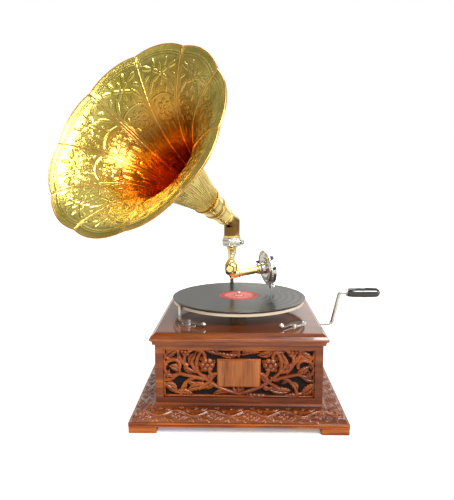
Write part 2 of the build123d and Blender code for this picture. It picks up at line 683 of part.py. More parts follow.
knob = Vector(71.0, -114.0)
Z_ARM = Z_TOP + 1.5 + GAP
with BuildPart() as speed_lever:
    with BuildSketch(Plane.XY.offset(Z_ARM)):
        with BuildLine() as arm:
            Line(SPEED_PIVOT, (knob.X, knob.Y))
        trace(arm.line, line_width=5)
        with Locations(SPEED_PIVOT):
            Circle(6)
    extrude(amount=2)
    with Locations((knob.X, knob.Y, Z_ARM + 3.5)):
        Sphere(4.5, rotation=(90, 0, 0))
    with BuildSketch(Plane.XY.offset(Z_ARM)):
        with Locations(SPEED_PIVOT):
            Circle(SPEED_SHAFT_R)
    extrude(amount=-(Z_ARM - Z_LID + 10))
    with BuildSketch(Plane.XY.offset(Z_LID - 6)):
        with Locations(Location(SPEED_PIVOT, 135)):
            SlotCenterToCenter(14, 7)
    extrude(amount=-3)
save(speed_lever, "speed_lever")

# ---- horn bracket and socket --------------------------------------------------------------------
swivel_plane = Plane(origin=(*SWIVEL, 0))
with BuildPart() as horn_bracket:
    with BuildSketch(bracket_face):
        RectangleRounded(38, 56, 6)
        with Locations(*bracket_holes):
            Circle(SCREW_R, mode=Mode.SUBTRACT)
    extrude(amount=BRACKET_T)
    with BuildSketch(Plane.YZ.offset(SWIVEL[0])):
        with BuildLine() as rib:
            FilletPolyline(
                (half_box + BRACKET_T, 84),
                (153, 104),
                (154, 168),
                (176, 205),
                (176, 240),
                (150, 272),
                radius=16,
            )
        trace(rib.line, line_width=11)
        with Locations((half_box + BRACKET_T, 40)):
            Rectangle(60, 260, align=(Align.MIN, Align.MIN), mode=Mode.INTERSECT)
    extrude(amount=4, both=True)
    with BuildSketch(swivel_plane.offset(Z_SOCKET - 20)):
        Circle(SOCKET_R)
    extrude(amount=SOCKET_H + 40, mode=Mode.SUBTRACT)
save(horn_bracket, "horn_bracket")

with BuildPart() as bracket_screws:
    with BuildSketch(bracket_face.offset(BRACKET_T)):
        with Locations(*bracket_holes):
            Circle(SCREW_R)
    extrude(amount=-BRACKET_T - WALL)
    with BuildSketch(bracket_face.offset(BRACKET_T)):
        with Locations(*bracket_holes):
            Circle(SCREW_HEAD_R)
    extrude(amount=SCREW_HEAD)
    with BuildSketch(bracket_face.offset(BRACKET_T + SCREW_HEAD)):
        with Locations(*bracket_holes):
            Rectangle(2 * SCREW_HEAD_R, 1.2)
    extrude(amount=-1.2, mode=Mode.SUBTRACT)
save(bracket_screws, "bracket_screws")

TURRET_R, Z_TURRET = 11.0, 237.5
with BuildPart() as horn_socket:
    with BuildSketch(swivel_plane.offset(Z_SOCKET)):
        Circle(SOCKET_R)
    extrude(amount=SOCKET_H)
    fillet(horn_socket.edges().filter_by(GeomType.CIRCLE), 2)
    with BuildSketch(swivel_plane.offset(Z_SOCKET + LIP_H)):
        Circle(NECK_R + RUN)
    extrude(amount=SOCKET_H, mode=Mode.SUBTRACT)
    with BuildSketch(swivel_plane.offset(Z_SOCKET)):
        Circle(TURRET_R + RUN)
    extrude(amount=LIP_H, mode=Mode.SUBTRACT)
save(horn_socket, "horn_socket")

# ---- horn ---------------------------------------------------------------------------------------
horn_axis = aim(HORN_AZIMUTH, HORN_RISE)
across = horn_axis.cross(Vector(0, 0, 1)).normalized()
horn_plane = Plane(origin=MITRE, x_dir=across, z_dir=horn_axis)
SLEEVE_S, NECK_S = 32.0, 105.0
BELL = [  # distance along the axis from the mitre, outer radius
    (NECK_S, 27.0),
    (175, 43),
    (235, 61.5),
    (285, 95),
    (322, 144),
    (334, 172),
    (337, 185),
]
Z_ELBOW = Z_SOCKET + LIP_H + 4
upright = Plane(origin=(*SWIVEL, Z_ELBOW))
with BuildPart() as horn_elbow:
    with BuildLine():
        Polyline(Vector(*SWIVEL, Z_ELBOW), MITRE, MITRE + horn_axis * SLEEVE_S)
    with BuildSketch(upright):
        Circle(NECK_R)
        Circle(NECK_R - SHEET, mode=Mode.SUBTRACT)
    sweep(transition=Transition.RIGHT)
    with BuildSketch(swivel_plane.offset(Z_SOCKET + SOCKET_H + RUN)):
        Circle(NECK_R + 1.6)
        Circle(NECK_R, mode=Mode.SUBTRACT)
    extrude(amount=4)
    with BuildSketch(horn_plane.offset(SLEEVE_S - 5)):
        Circle(NECK_R + 2)
        Circle(NECK_R, mode=Mode.SUBTRACT)
    extrude(amount=5)
save(horn_elbow, "horn_elbow")

profile_plane = Plane(origin=MITRE, x_dir=horn_axis, z_dir=horn_axis.cross(across))
spin = Axis(MITRE, horn_axis)
with BuildPart() as horn_neck:
    with BuildSketch(profile_plane):
        with BuildLine():
            outside = Polyline(
                (SLEEVE_S, NECK_R + 1.5),
                (68, 22.7),
                (68, 24.7),
                (73, 25.2),
                (73, 23.3),
                (NECK_S - 4, 26.5),
                (NECK_S - 4, 28.4),
                (NECK_S, 28.8),
            )
            Polyline(
                outside @ 1,
                (NECK_S, 27 - SHEET),
                (SLEEVE_S, NECK_R + 1.5 - SHEET),
                outside @ 0,
            )
        make_face()
    revolve(axis=spin)
save(horn_neck, "horn_neck")

STEP_DEG = 360 / PETALS
SEAM_DEG = 0.12
cusp = (CUSP_R * cos(radians(STEP_DEG / 2)), CUSP_R * sin(radians(STEP_DEG / 2)))
with BuildPart() as petal:
    with BuildSketch(Plane.XZ):
        with BuildLine():
            shell = Spline(*[(r, s) for s, r in BELL])
            flares = [(s, r, (s / MOUTH_S) ** 4) for s, r in BELL]
            inside = [(r - SHEET * (0.95 - 0.6 * f), s + SHEET * f) for s, r, f in flares]
            lining = Spline(*inside)
            Line(shell @ 0, lining @ 0)
            Line(shell @ 1, lining @ 1)
        make_face()
    revolve(axis=Axis.Z, revolution_arc=STEP_DEG - SEAM_DEG)
    with BuildSketch(Plane.XY.offset(NECK_S).rotated((0, 0, (STEP_DEG - SEAM_DEG) / 2))):
        with BuildLine():
            lower = Line((0, 0), (cusp[0], -cusp[1]))
            scallop = ThreePointArc(lower @ 1, (PETAL_R, 0), cusp)
            Line(scallop @ 1, lower @ 0)
        make_face()
    extrude(amount=MOUTH_S, mode=Mode.INTERSECT)

with BuildPart() as horn_petals:
    for number in range(PETALS):
        turned = Location((0, 0, 0), (0, 0, PETAL_TURN - STEP_DEG / 2 + number * STEP_DEG))
        with Locations(horn_plane.location * turned):
            add(petal.part)
save(horn_petals, "horn_petals")

# ---- tone arm -----------------------------------------------------------------------------------
arm_root = Vector(*SWIVEL, ARM_Z)
arm_end = Vector(SWIVEL[0], ARM_END_Y, ARM_Z - ARM_DROP)
arm_axis = (arm_end - arm_root).normalized()
arm_plane = Plane(origin=arm_root, x_dir=(1, 0, 0), z_dir=arm_axis)
BOSS_L, BOSS_R = 17.0, 9.5
ARM_L = (arm_end - arm_root).length
ROOT_R, TIP_R, ARM_WALL = 8.5, 6.0, 1.0
FLANGE_Z, FLANGE_H = Z_SOCKET + LIP_H + RUN, 3.0
turret_profile = Plane(origin=(*SWIVEL, 0), x_dir=(1, 0, 0), z_dir=(0, -1, 0))
turret_axis = Axis((*SWIVEL, 0), (0, 0, 1))
with BuildPart() as tonearm_turret:
    with BuildSketch(turret_profile):
        with BuildLine():
            Polyline(
                (0, Z_TURRET),
                (5.5, Z_TURRET),
                (8, Z_TURRET + 2.5),
                (TURRET_R, Z_SOCKET - 1.5),
                (TURRET_R, FLANGE_Z),
                (TURRET_R + 3, FLANGE_Z),
                (TURRET_R + 3, FLANGE_Z + FLANGE_H),
                (0, FLANGE_Z + FLANGE_H),
                close=True,
            )
        make_face()
    revolve(axis=turret_axis)
    with BuildSketch(arm_plane):
        Circle(BOSS_R - 3)
    with BuildSketch(arm_plane.offset(BOSS_L)):
        Circle(BOSS_R)
    loft()
    with BuildSketch(arm_plane.offset(BOSS_L)):
        Circle(ROOT_R - ARM_WALL)
    extrude(amount=-6, mode=Mode.SUBTRACT)
    with BuildSketch(arm_plane.offset(BOSS_L)):
        Circle(ROOT_R - ARM_WALL - 2.5)
    extrude(amount=-BOSS_L, mode=Mode.SUBTRACT)
    with BuildSketch(turret_profile):
        with BuildLine():
            Polyline(
                (0, Z_TURRET + 3),
                (4.5, Z_TURRET + 3),
                (TURRET_R - 1.8, Z_SOCKET),
                (TURRET_R - 1.8, FLANGE_Z + FLANGE_H + 1),
                (0, FLANGE_Z + FLANGE_H + 1),
                close=True,
            )
        make_face()
    revolve(axis=turret_axis, mode=Mode.SUBTRACT)
save(tonearm_turret, "tonearm_turret")

with BuildPart() as tonearm_tube:
    with BuildSketch(arm_plane.offset(BOSS_L)):
        Circle(ROOT_R)
    with BuildSketch(arm_plane.offset(ARM_L)):
        Circle(TIP_R)
    loft()
    with BuildSketch(arm_plane.offset(BOSS_L)):
        Circle(ROOT_R - ARM_WALL)
    with BuildSketch(arm_plane.offset(ARM_L)):
        Circle(TIP_R - ARM_WALL)
    loft(mode=Mode.SUBTRACT)
save(tonearm_tube, "tonearm_tube")

# ---- gooseneck: turns about the tone arm to lift the sound box ------------------------------------
NECK_Y, NECK_Z0, NECK_Z1, NECK_CAP_R = 5.5, 221.0, 252.0, 12.3
tube_axis = aim(TUBE_AZIMUTH, TUBE_RISE)
tube_start = Vector(-16.9, 7.4, 223.8)
side_dir = Vector(0, 0, 1).cross(tube_axis).normalized()
tube_plane = Plane(origin=tube_start, x_dir=side_dir, z_dir=tube_axis)
TUBE_R, TUBE_WALL, TUBE_FROM, COLLAR_FROM, BOX_FROM = 8.0, 1.2, 16.0, 56.5, 70.0
SCREW_FACE_Y = -7.2
front_screw = Plane(origin=(-17, SCREW_FACE_Y, 237), x_dir=(1, 0, 0), z_dir=(0, -1, 0))
with BuildPart() as gooseneck:
    with BuildSketch(Plane(origin=(SWIVEL[0], NECK_Y, 0), x_dir=(1, 0, 0), z_dir=(0, -1, 0))):
        with BuildLine():
            low = CenterArc((0, NECK_Z0 + NECK_CAP_R), NECK_CAP_R, -90, 90)
            high = CenterArc((0, NECK_Z1 - NECK_CAP_R), NECK_CAP_R, 0, 90)
            Line(low @ 1, high @ 0)
            Line(high @ 1, low @ 0)
        make_face()
    revolve(axis=Axis((SWIVEL[0], NECK_Y, 0), (0, 0, 1)))
    with BuildSketch(arm_plane.offset(ARM_L + GAP)):
        Circle(8.5)
    extrude(amount=9)
    with BuildSketch(arm_plane.offset(ARM_L - 12)):
        Circle(TIP_R - ARM_WALL - RUN)
    extrude(amount=16)
    with BuildSketch(tube_plane):
        Circle(TUBE_R + 1)
    extrude(amount=TUBE_FROM)
    with BuildSketch(front_screw):
        Circle(7)
    extrude(amount=-9)
    with BuildSketch(arm_plane.offset(ARM_L - 12)):
        Circle(3.6)
    extrude(amount=24, mode=Mode.SUBTRACT)
    with BuildSketch(Plane(origin=(SWIVEL[0], NECK_Y, NECK_Z1 - 6))):
        Circle(4)
    extrude(amount=-22, mode=Mode.SUBTRACT)
    with BuildSketch(tube_plane.offset(TUBE_FROM)):
        Circle(TUBE_R - TUBE_WALL)
    extrude(amount=-TUBE_FROM, mode=Mode.SUBTRACT)
save(gooseneck, "gooseneck")

with BuildPart() as gooseneck_screw:
    with BuildSketch(front_screw):
        Circle(6.5)
    extrude(amount=2.5)
    chamfer(gooseneck_screw.faces().sort_by(Axis.Y)[0].edges(), 0.7)
    with BuildSketch(front_screw.offset(2.5)):
        Rectangle(13, 1.6)
    extrude(amount=-1.2, mode=Mode.SUBTRACT)
save(gooseneck_screw, "gooseneck_screw")

with BuildPart() as reproducer_tube:
    with BuildSketch(tube_plane.offset(TUBE_FROM)):
        Circle(TUBE_R)
    extrude(amount=COLLAR_FROM - TUBE_FROM)
    with BuildSketch(tube_plane.offset(COLLAR_FROM)):
        Circle(TUBE_R + 2.5)
    extrude(amount=BOX_FROM - COLLAR_FROM)
    with BuildSketch(tube_plane.offset(TUBE_FROM)):
        Circle(TUBE_R - TUBE_WALL)
    extrude(amount=BOX_FROM - TUBE_FROM, mode=Mode.SUBTRACT)
save(reproducer_tube, "reproducer_tube")

# ---- sound box ----------------------------------------------------------------------------------
box_plane = tube_plane.offset(BOX_FROM + 2)
DIAPHRAGM_R, POCKET_R = 22.0, 26.0
with BuildPart() as soundbox_housing:
    with BuildSketch(box_plane):
        Circle(BOX_R)
    extrude(amount=BOX_T)
    edge_circles = soundbox_housing.edges().filter_by(GeomType.CIRCLE)
    fillet(edge_circles, 1.8)
    with BuildSketch(box_plane):
        Circle(12)
    extrude(amount=-2)
    with BuildSketch(box_plane.offset(BOX_T)):
        Circle(POCKET_R)
    extrude(amount=-BOX_T + 3, mode=Mode.SUBTRACT)
    with BuildSketch(box_plane.offset(-2)):
        Circle(TUBE_R - TUBE_WALL)
    extrude(amount=8, mode=Mode.SUBTRACT)
save(soundbox_housing, "soundbox_housing")

with BuildPart() as soundbox_gasket:
    with BuildSketch(box_plane.offset(5)):
        Circle(POCKET_R)
        Circle(DIAPHRAGM_R, mode=Mode.SUBTRACT)
    extrude(amount=4)
save(soundbox_gasket, "soundbox_gasket")

with BuildPart() as diaphragm:
    with BuildSketch(box_plane.offset(7)):
        Circle(DIAPHRAGM_R)
    extrude(amount=0.5)
save(diaphragm, "diaphragm")

down = side_dir.cross(tube_axis)
down = down if down.Z < 0 else -down
HOLDER_IN, HOLDER_OUT, HOLDER_R, TIP_OUT, HOLDER_N = 33.5, 41.5, 3.0, 50.25, 7.0
NEEDLE_R, NEEDLE_IN, CLAMP_R, CLAMP_OUT = 0.8, 36.5, 1.5, 39.0
stylus_plane = Plane(origin=box_plane.origin, x_dir=tube_axis, z_dir=tube_axis.cross(down))
holder_plane = Plane(origin=box_plane.origin + tube_axis * HOLDER_N + down * HOLDER_IN, z_dir=down)
clamp_plane = Plane(
    origin=box_plane.origin + tube_axis * HOLDER_N + down * CLAMP_OUT, x_dir=side_dir, z_dir=tube_axis
)
with BuildPart() as stylus_bar:
    with BuildSketch(holder_plane):
        Circle(HOLDER_R)
    extrude(amount=HOLDER_OUT - HOLDER_IN)
    with BuildSketch(stylus_plane):
        with BuildLine() as bar:
            Polyline((HOLDER_N, 34.7), (14, 33.7), (14, 2), (7.5, 0))
        trace(bar.line, line_width=2)
        with Locations((0, -20)):
            Rectangle(7.5, 100, align=(Align.MIN, Align.MIN), mode=Mode.SUBTRACT)
        with Locations((HOLDER_N, 33.8)):
            Rectangle(4, 1.9, align=(Align.MIN, Align.MIN))
    extrude(amount=1.5, both=True)
    with BuildSketch(holder_plane.offset(NEEDLE_IN - HOLDER_IN)):
        Circle(NEEDLE_R)
    extrude(amount=HOLDER_OUT - NEEDLE_IN, mode=Mode.SUBTRACT)
    with BuildSketch(clamp_plane.offset(NEEDLE_R)):
        Circle(CLAMP_R + RUN)
    extrude(amount=HOLDER_R, mode=Mode.SUBTRACT)
save(stylus_bar, "stylus_bar")

with BuildPart() as needle:
    with BuildSketch(holder_plane.offset(NEEDLE_IN - HOLDER_IN)):
        Circle(NEEDLE_R)
    extrude(amount=TIP_OUT - 3 - NEEDLE_IN)
    with BuildSketch(holder_plane.offset(TIP_OUT - 3 - HOLDER_IN)):
        Circle(NEEDLE_R)
    with BuildSketch(holder_plane.offset(TIP_OUT - HOLDER_IN)):
        Circle(0.12)
    loft()
save(needle, "needle")

with BuildPart() as needle_screw:
    with BuildSketch(clamp_plane.offset(NEEDLE_R + GAP)):
        Circle(CLAMP_R)
    extrude(amount=6)
    with BuildSketch(clamp_plane.offset(HOLDER_R + 1.5)):
        Circle(3.6)
        with PolarLocations(3.6, 12):
            Circle(0.4, mode=Mode.SUBTRACT)
    extrude(amount=3)
save(needle_screw, "needle_screw")
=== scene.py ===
"""Looks for the wind-up horn gramophone: metres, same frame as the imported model."""

import json
import math

import bmesh
import bpy
import numpy as np
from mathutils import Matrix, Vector


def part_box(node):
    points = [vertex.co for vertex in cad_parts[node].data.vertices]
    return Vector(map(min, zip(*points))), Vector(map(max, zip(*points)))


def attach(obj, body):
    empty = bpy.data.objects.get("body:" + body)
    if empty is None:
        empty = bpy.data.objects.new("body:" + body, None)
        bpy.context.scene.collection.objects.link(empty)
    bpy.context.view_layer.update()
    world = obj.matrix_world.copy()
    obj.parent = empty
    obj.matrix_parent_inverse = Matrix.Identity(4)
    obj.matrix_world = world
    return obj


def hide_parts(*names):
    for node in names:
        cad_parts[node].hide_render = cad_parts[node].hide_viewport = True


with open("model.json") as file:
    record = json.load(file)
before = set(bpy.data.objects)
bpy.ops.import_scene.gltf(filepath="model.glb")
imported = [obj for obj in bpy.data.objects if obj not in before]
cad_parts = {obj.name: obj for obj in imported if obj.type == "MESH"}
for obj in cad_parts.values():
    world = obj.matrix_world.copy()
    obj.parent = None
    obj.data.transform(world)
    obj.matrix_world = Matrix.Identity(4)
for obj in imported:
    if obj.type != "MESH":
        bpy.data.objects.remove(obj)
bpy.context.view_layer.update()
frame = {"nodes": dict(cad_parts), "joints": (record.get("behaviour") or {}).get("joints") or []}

MM = 0.001
UP = Vector((0, 0, 1))
nodes = frame["nodes"]


# ---- sizes shared with the frame
def middle(name):
    """Middle of a CAD node's box."""
    low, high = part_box(name)
    return (Vector(low) + Vector(high)) / 2


def cos_sin(degrees):
    angle = math.radians(degrees)
    return math.cos(angle), math.sin(angle)


SPINDLE_AT = middle("record")
JOINTS = {joint["name"]: joint for joint in frame["joints"]}
SWIVEL_AT = Vector(JOINTS["horn_turn"]["pos_m"])
TUBE_DIR = Vector(JOINTS["needle_clamp_turn"]["axis"]).normalized()

HORN_TURN_DEG, HORN_RISE_DEG, MITRE_Z = 237.06, 28.18, 0.312
MITRE = Vector((SWIVEL_AT.x, SWIVEL_AT.y, MITRE_Z))
(turn_x, turn_y), (level, rise) = cos_sin(HORN_TURN_DEG), cos_sin(HORN_RISE_DEG)
HORN_DIR = Vector((level * turn_x, level * turn_y, rise))
HORN_X = HORN_DIR.cross(UP).normalized()
HORN_Y = HORN_DIR.cross(HORN_X).normalized()


# ---- mesh helpers
def into_scene(piece):
    bpy.context.scene.collection.objects.link(piece)


def mesh_object(name, points, faces, material):
    """A new object from point and face lists, in metres."""
    mesh = bpy.data.meshes.new(name)
    mesh.from_pydata([tuple(p) for p in points], [], [tuple(int(i) for i in f) for f in faces])
    mesh.validate()
    mesh.update()
    bm = bmesh.new()
    bm.from_mesh(mesh)
    bmesh.ops.recalc_face_normals(bm, faces=bm.faces)
    bm.to_mesh(mesh)
    bm.free()
    mesh.polygons.foreach_set("use_smooth", [True] * len(mesh.polygons))
    mesh.materials.append(material)
    piece = bpy.data.objects.new(name, mesh)
    into_scene(piece)
    return piece


def grid_faces(rows, columns, wrap=False):
    """Quads of a rows by columns grid of points; wrap joins the last column to the first."""
    faces = []
    last = columns if wrap else columns - 1
    for row in range(rows - 1):
        for column in range(last):
            after = (column + 1) % columns
            a, b = row * columns + column, row * columns + after
            faces.append((a, b, b + columns, a + columns))
    return faces


def end_caps(rows, columns):
    """Flat ends of a wrapped grid."""
    return [tuple(reversed(range(columns))), tuple(range((rows - 1) * columns, rows * columns))]


def grid_border(rows, columns):
    """The outer ring of a grid's points, in order."""
    border = [*range(columns), *(r * columns + columns - 1 for r in range(1, rows))]
    border += (rows * columns - 1 - c for c in range(1, columns))
    border += (r * columns for r in range(rows - 2, 0, -1))
    return border


def shell_faces(rows, columns, wrap=False):
    """A grid, its copy one sheet behind and the wall between them, as one closed skin."""
    count = rows * columns
    faces = grid_faces(rows, columns, wrap)
    faces += [tuple(count + i for i in reversed(face)) for face in faces]
    border = [(rows - 1) * columns + c for c in range(columns)] if wrap else grid_border(rows, columns)
    for here, there in zip(border, border[1:] + border[:1]):
        faces.append((here, there, there + count, here + count))
    return faces


def apply_modifiers(piece):
    """Bakes the piece's modifiers into its mesh."""
    graph = bpy.context.evaluated_depsgraph_get()
    final = bpy.data.meshes.new_from_object(piece.evaluated_get(graph))
    piece.modifiers.clear()
    piece.data = final


def finish_piece(piece, body, slot, *replaced):
    """Every new piece rides on a body, and the CAD parts it replaces are hidden; slot is not used."""
    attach(piece, body)
    if replaced:
        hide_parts(*replaced)


def basis(direction):
    """Two directions square to the given one."""
    side = direction.cross(UP)
    if side.length < 1e-6:
        side = direction.cross(Vector((1, 0, 0)))
    side.normalize()
    return side, side.cross(direction).normalized()


def lathe(name, origin, direction, profile, material, steps=64, ripple=None):
    """A closed turned piece: profile is (along, radius) in mm; ripple(angle, along) adds mm of radius."""
    side, rise = basis(direction)
    points = []
    for along, radius in profile:
        for step in range(steps):
            angle = 2 * math.pi * step / steps
            out = radius + (ripple(angle, along) if ripple and radius > 1 else 0)
            spoke = side * math.cos(angle) + rise * math.sin(angle)
            points.append(origin + direction * along * MM + spoke * out * MM)
    faces = grid_faces(len(profile), steps, wrap=True)
    closed = profile[0] == profile[-1]
    if not closed:
        faces += end_caps(len(profile), steps)
    piece = mesh_object(name, points, faces, material)
    mark_sharp(piece)
    return piece


def mark_sharp(piece, degrees=38):
    """Keeps the piece's creases crisp while the rest shades smooth."""
    bm = bmesh.new()
    bm.from_mesh(piece.data)
    limit = math.radians(degrees)
    for edge in bm.edges:
        edge.smooth = edge.calc_face_angle(0.0) < limit
    bm.to_mesh(piece.data)
    bm.free()


def turned(name, origin, direction, profile, material, steps, body, ripple=None, slot="nickel"):
    """A turned fitting that rides on a body."""
    finish_piece(lathe(name, origin, direction, profile, material, steps, ripple), body, slot)


def tube_mesh(name, path, radius_at, material, around=12, closed=False, twist=None):
    """A tube along a list of points; radius_at(share) in metres; twist(angle, length) scales it."""
    count = len(path)
    points, travelled = [], 0.0
    lead = None
    for i, here in enumerate(path):
        before = path[i - 1] if i or closed else here
        after = path[(i + 1) % count] if i < count - 1 or closed else here
        tangent = (after - before).normalized()
        if lead is None:
            lead, _ = basis(tangent)
        lead = (lead - tangent * lead.dot(tangent)).normalized()
        other = tangent.cross(lead)
        if i:
            travelled += (here - path[i - 1]).length
        radius = radius_at(i / max(count - 1, 1))
        for step in range(around):
            angle = 2 * math.pi * step / around
            scale = twist(angle, travelled) if twist else 1.0
            spoke = lead * math.cos(angle) + other * math.sin(angle)
            points.append(here + spoke * radius * scale)
    faces = grid_faces(count, around, wrap=True)
    if closed:
        base = (count - 1) * around
        for step in range(around):
            after = (step + 1) % around
            faces.append((base + step, base + after, after, step))
    else:
        faces += end_caps(count, around)
    return mesh_object(name, points, faces, material)


# ---- materials
class Nodes:
    """Shorthand for building a node tree; place is the coordinate its textures use."""

    def __init__(self, tree, place):
        self.tree = tree
        self.place = self.node("ShaderNodeTexCoord").outputs[place]

    def node(self, kind, inputs=None, **settings):
        made = self.tree.nodes.new(kind)
        for key, value in settings.items():
            setattr(made, key, value)
        for socket, value in (inputs or {}).items():
            self.feed(made.inputs[socket], value)
        return made

    def feed(self, socket, value):
        """Links an output to a socket, or sets a plain value on it."""
        if hasattr(value, "is_output"):
            self.tree.links.new(value, socket)
        else:
            socket.default_value = value

    def mapped(self, scale, location=(0, 0, 0)):
        inputs = {"Scale": scale, "Location": location, "Vector": self.place}
        return self.node("ShaderNodeMapping", inputs).outputs["Vector"]

    def length(self, vector):
        return self.node("ShaderNodeVectorMath", {0: vector}, operation="LENGTH").outputs["Value"]

    def about_spindle(self):
        """Position about the record's middle, laid flat, and the distance from it."""
        centred = self.mapped((1, 1, 0), (-SPINDLE_AT.x, -SPINDLE_AT.y, 0))
        return centred, self.length(centred)

    def parts(self, vector):
        return self.node("ShaderNodeSeparateXYZ", {0: vector}).outputs

    def noise(self, scale, detail=4.0, rough=0.55, where=None, distortion=0.0):
        inputs = {"Scale": scale, "Detail": detail, "Roughness": rough, "Distortion": distortion}
        inputs["Vector"] = where or self.place
        return self.node("ShaderNodeTexNoise", inputs).outputs["Fac"]

    def voronoi(self, scale):
        inputs = {"Scale": scale, "Vector": self.place}
        return self.node("ShaderNodeTexVoronoi", inputs).outputs["Distance"]

    def ramp(self, source, stops, blend="LINEAR"):
        """Each stop is a place and a colour, or one number for a grey."""
        made = self.node("ShaderNodeValToRGB")
        made.color_ramp.interpolation = blend
        while len(made.color_ramp.elements) < len(stops):
            made.color_ramp.elements.new(0.5)
        for element, (at, colour) in zip(made.color_ramp.elements, stops):
            element.position = at
            element.color = (*(colour if isinstance(colour, tuple) else (colour,) * 3), 1)
        self.feed(made.inputs["Fac"], source)
        return made.outputs["Color"]

    def mix(self, share, a, b, mode="MIX"):
        made = self.node("ShaderNodeMix", data_type="RGBA", blend_type=mode)
        for socket, value in (("Factor", share), ("A", a), ("B", b)):
            kind = "VALUE" if socket == "Factor" else "RGBA"
            target = next(s for s in made.inputs if s.name == socket and s.type == kind)
            plain = socket == "Factor" or hasattr(value, "is_output")
            self.feed(target, value if plain else (*value, 1))
        return next(s for s in made.outputs if s.type == "RGBA")

    def math(self, operation, *values):
        return self.node("ShaderNodeMath", dict(enumerate(values)), operation=operation).outputs[0]

    def times(self, a, b):
        return self.math("MULTIPLY", a, b)

    def span(self, source, low, high):
        inputs = {"To Min": low, "To Max": high, "Value": source}
        return self.node("ShaderNodeMapRange", inputs).outputs["Result"]

    def bump(self, height, strength, distance, onto=None):
        inputs = {"Strength": strength, "Distance": distance, "Height": height}
        if onto is not None:
            inputs["Normal"] = onto
        return self.node("ShaderNodeBump", inputs).outputs["Normal"]

    def pointiness(self):
        return self.node("ShaderNodeNewGeometry").outputs["Pointiness"]


class Shader(Nodes):
    """One material around a Principled BSDF."""

    def __init__(self, name, **sockets):
        self.material = bpy.data.materials.new(name)
        self.material.use_nodes = True
        super().__init__(self.material.node_tree, "Object")
        self.bsdf = next(n for n in self.tree.nodes if n.type == "BSDF_PRINCIPLED")
        for socket, value in sockets.items():
            self.set(socket.replace("_", " "), value)

    def set(self, socket, value):
        self.feed(self.bsdf.inputs[socket], value)


def wood(name, grain, tones, gloss, coat, wear_and_painted_shade=True):
    """Stained hardwood: grain is the axis it runs along; streaks, pores, and optionally darker hollows and
    lighter ridges, part dirt and wear, part painted shade and painted highlight.
    """
    dark, warm, light = tones
    shader = Shader(name, Coat_Weight=coat, Coat_Roughness=0.05, Specular_IOR_Level=0.35)
    squeeze = {"x": (0.07, 1, 1), "y": (1, 0.07, 1), "z": (1, 1, 0.07)}[grain]
    along = shader.mapped(squeeze)
    figure = shader.noise(60, 6, 0.62, along, 0.5)
    streak = shader.noise(420, 3, 0.6, along)
    colour = shader.ramp(figure, [(0.28, dark), (0.5, warm), (0.72, light)])
    pores = shader.ramp(streak, [(0.36, (0.45, 0.36, 0.32)), (0.47, 1)])
    colour = shader.mix(0.55, colour, pores, "MULTIPLY")
    blotch = shader.ramp(shader.noise(11, 2), [(0.35, (0.80, 0.74, 0.70)), (0.65, (1.15, 1.1, 1.0))])
    colour = shader.mix(0.8, colour, blotch, "MULTIPLY")
    if wear_and_painted_shade:
        # hollows darkened and ridges lightened: part dirt and wear, part painted shade and painted
        # highlight
        crease_dirt_and_shade = [(0.44, (0.07, 0.03, 0.02)), (0.496, (0.85, 0.8, 0.75)), (0.55, (1.9, 1.8, 1.5))]
        colour = shader.mix(0.9, colour, shader.ramp(shader.pointiness(), crease_dirt_and_shade), "MULTIPLY")
    shader.set("Base Color", colour)
    shader.set("Roughness", shader.span(streak, gloss - 0.06, gloss + 0.1))
    grainy = shader.bump(streak, 0.2, 0.0002)
    shader.set("Normal", shader.bump(figure, 0.1, 0.0005, grainy))
    return shader.material


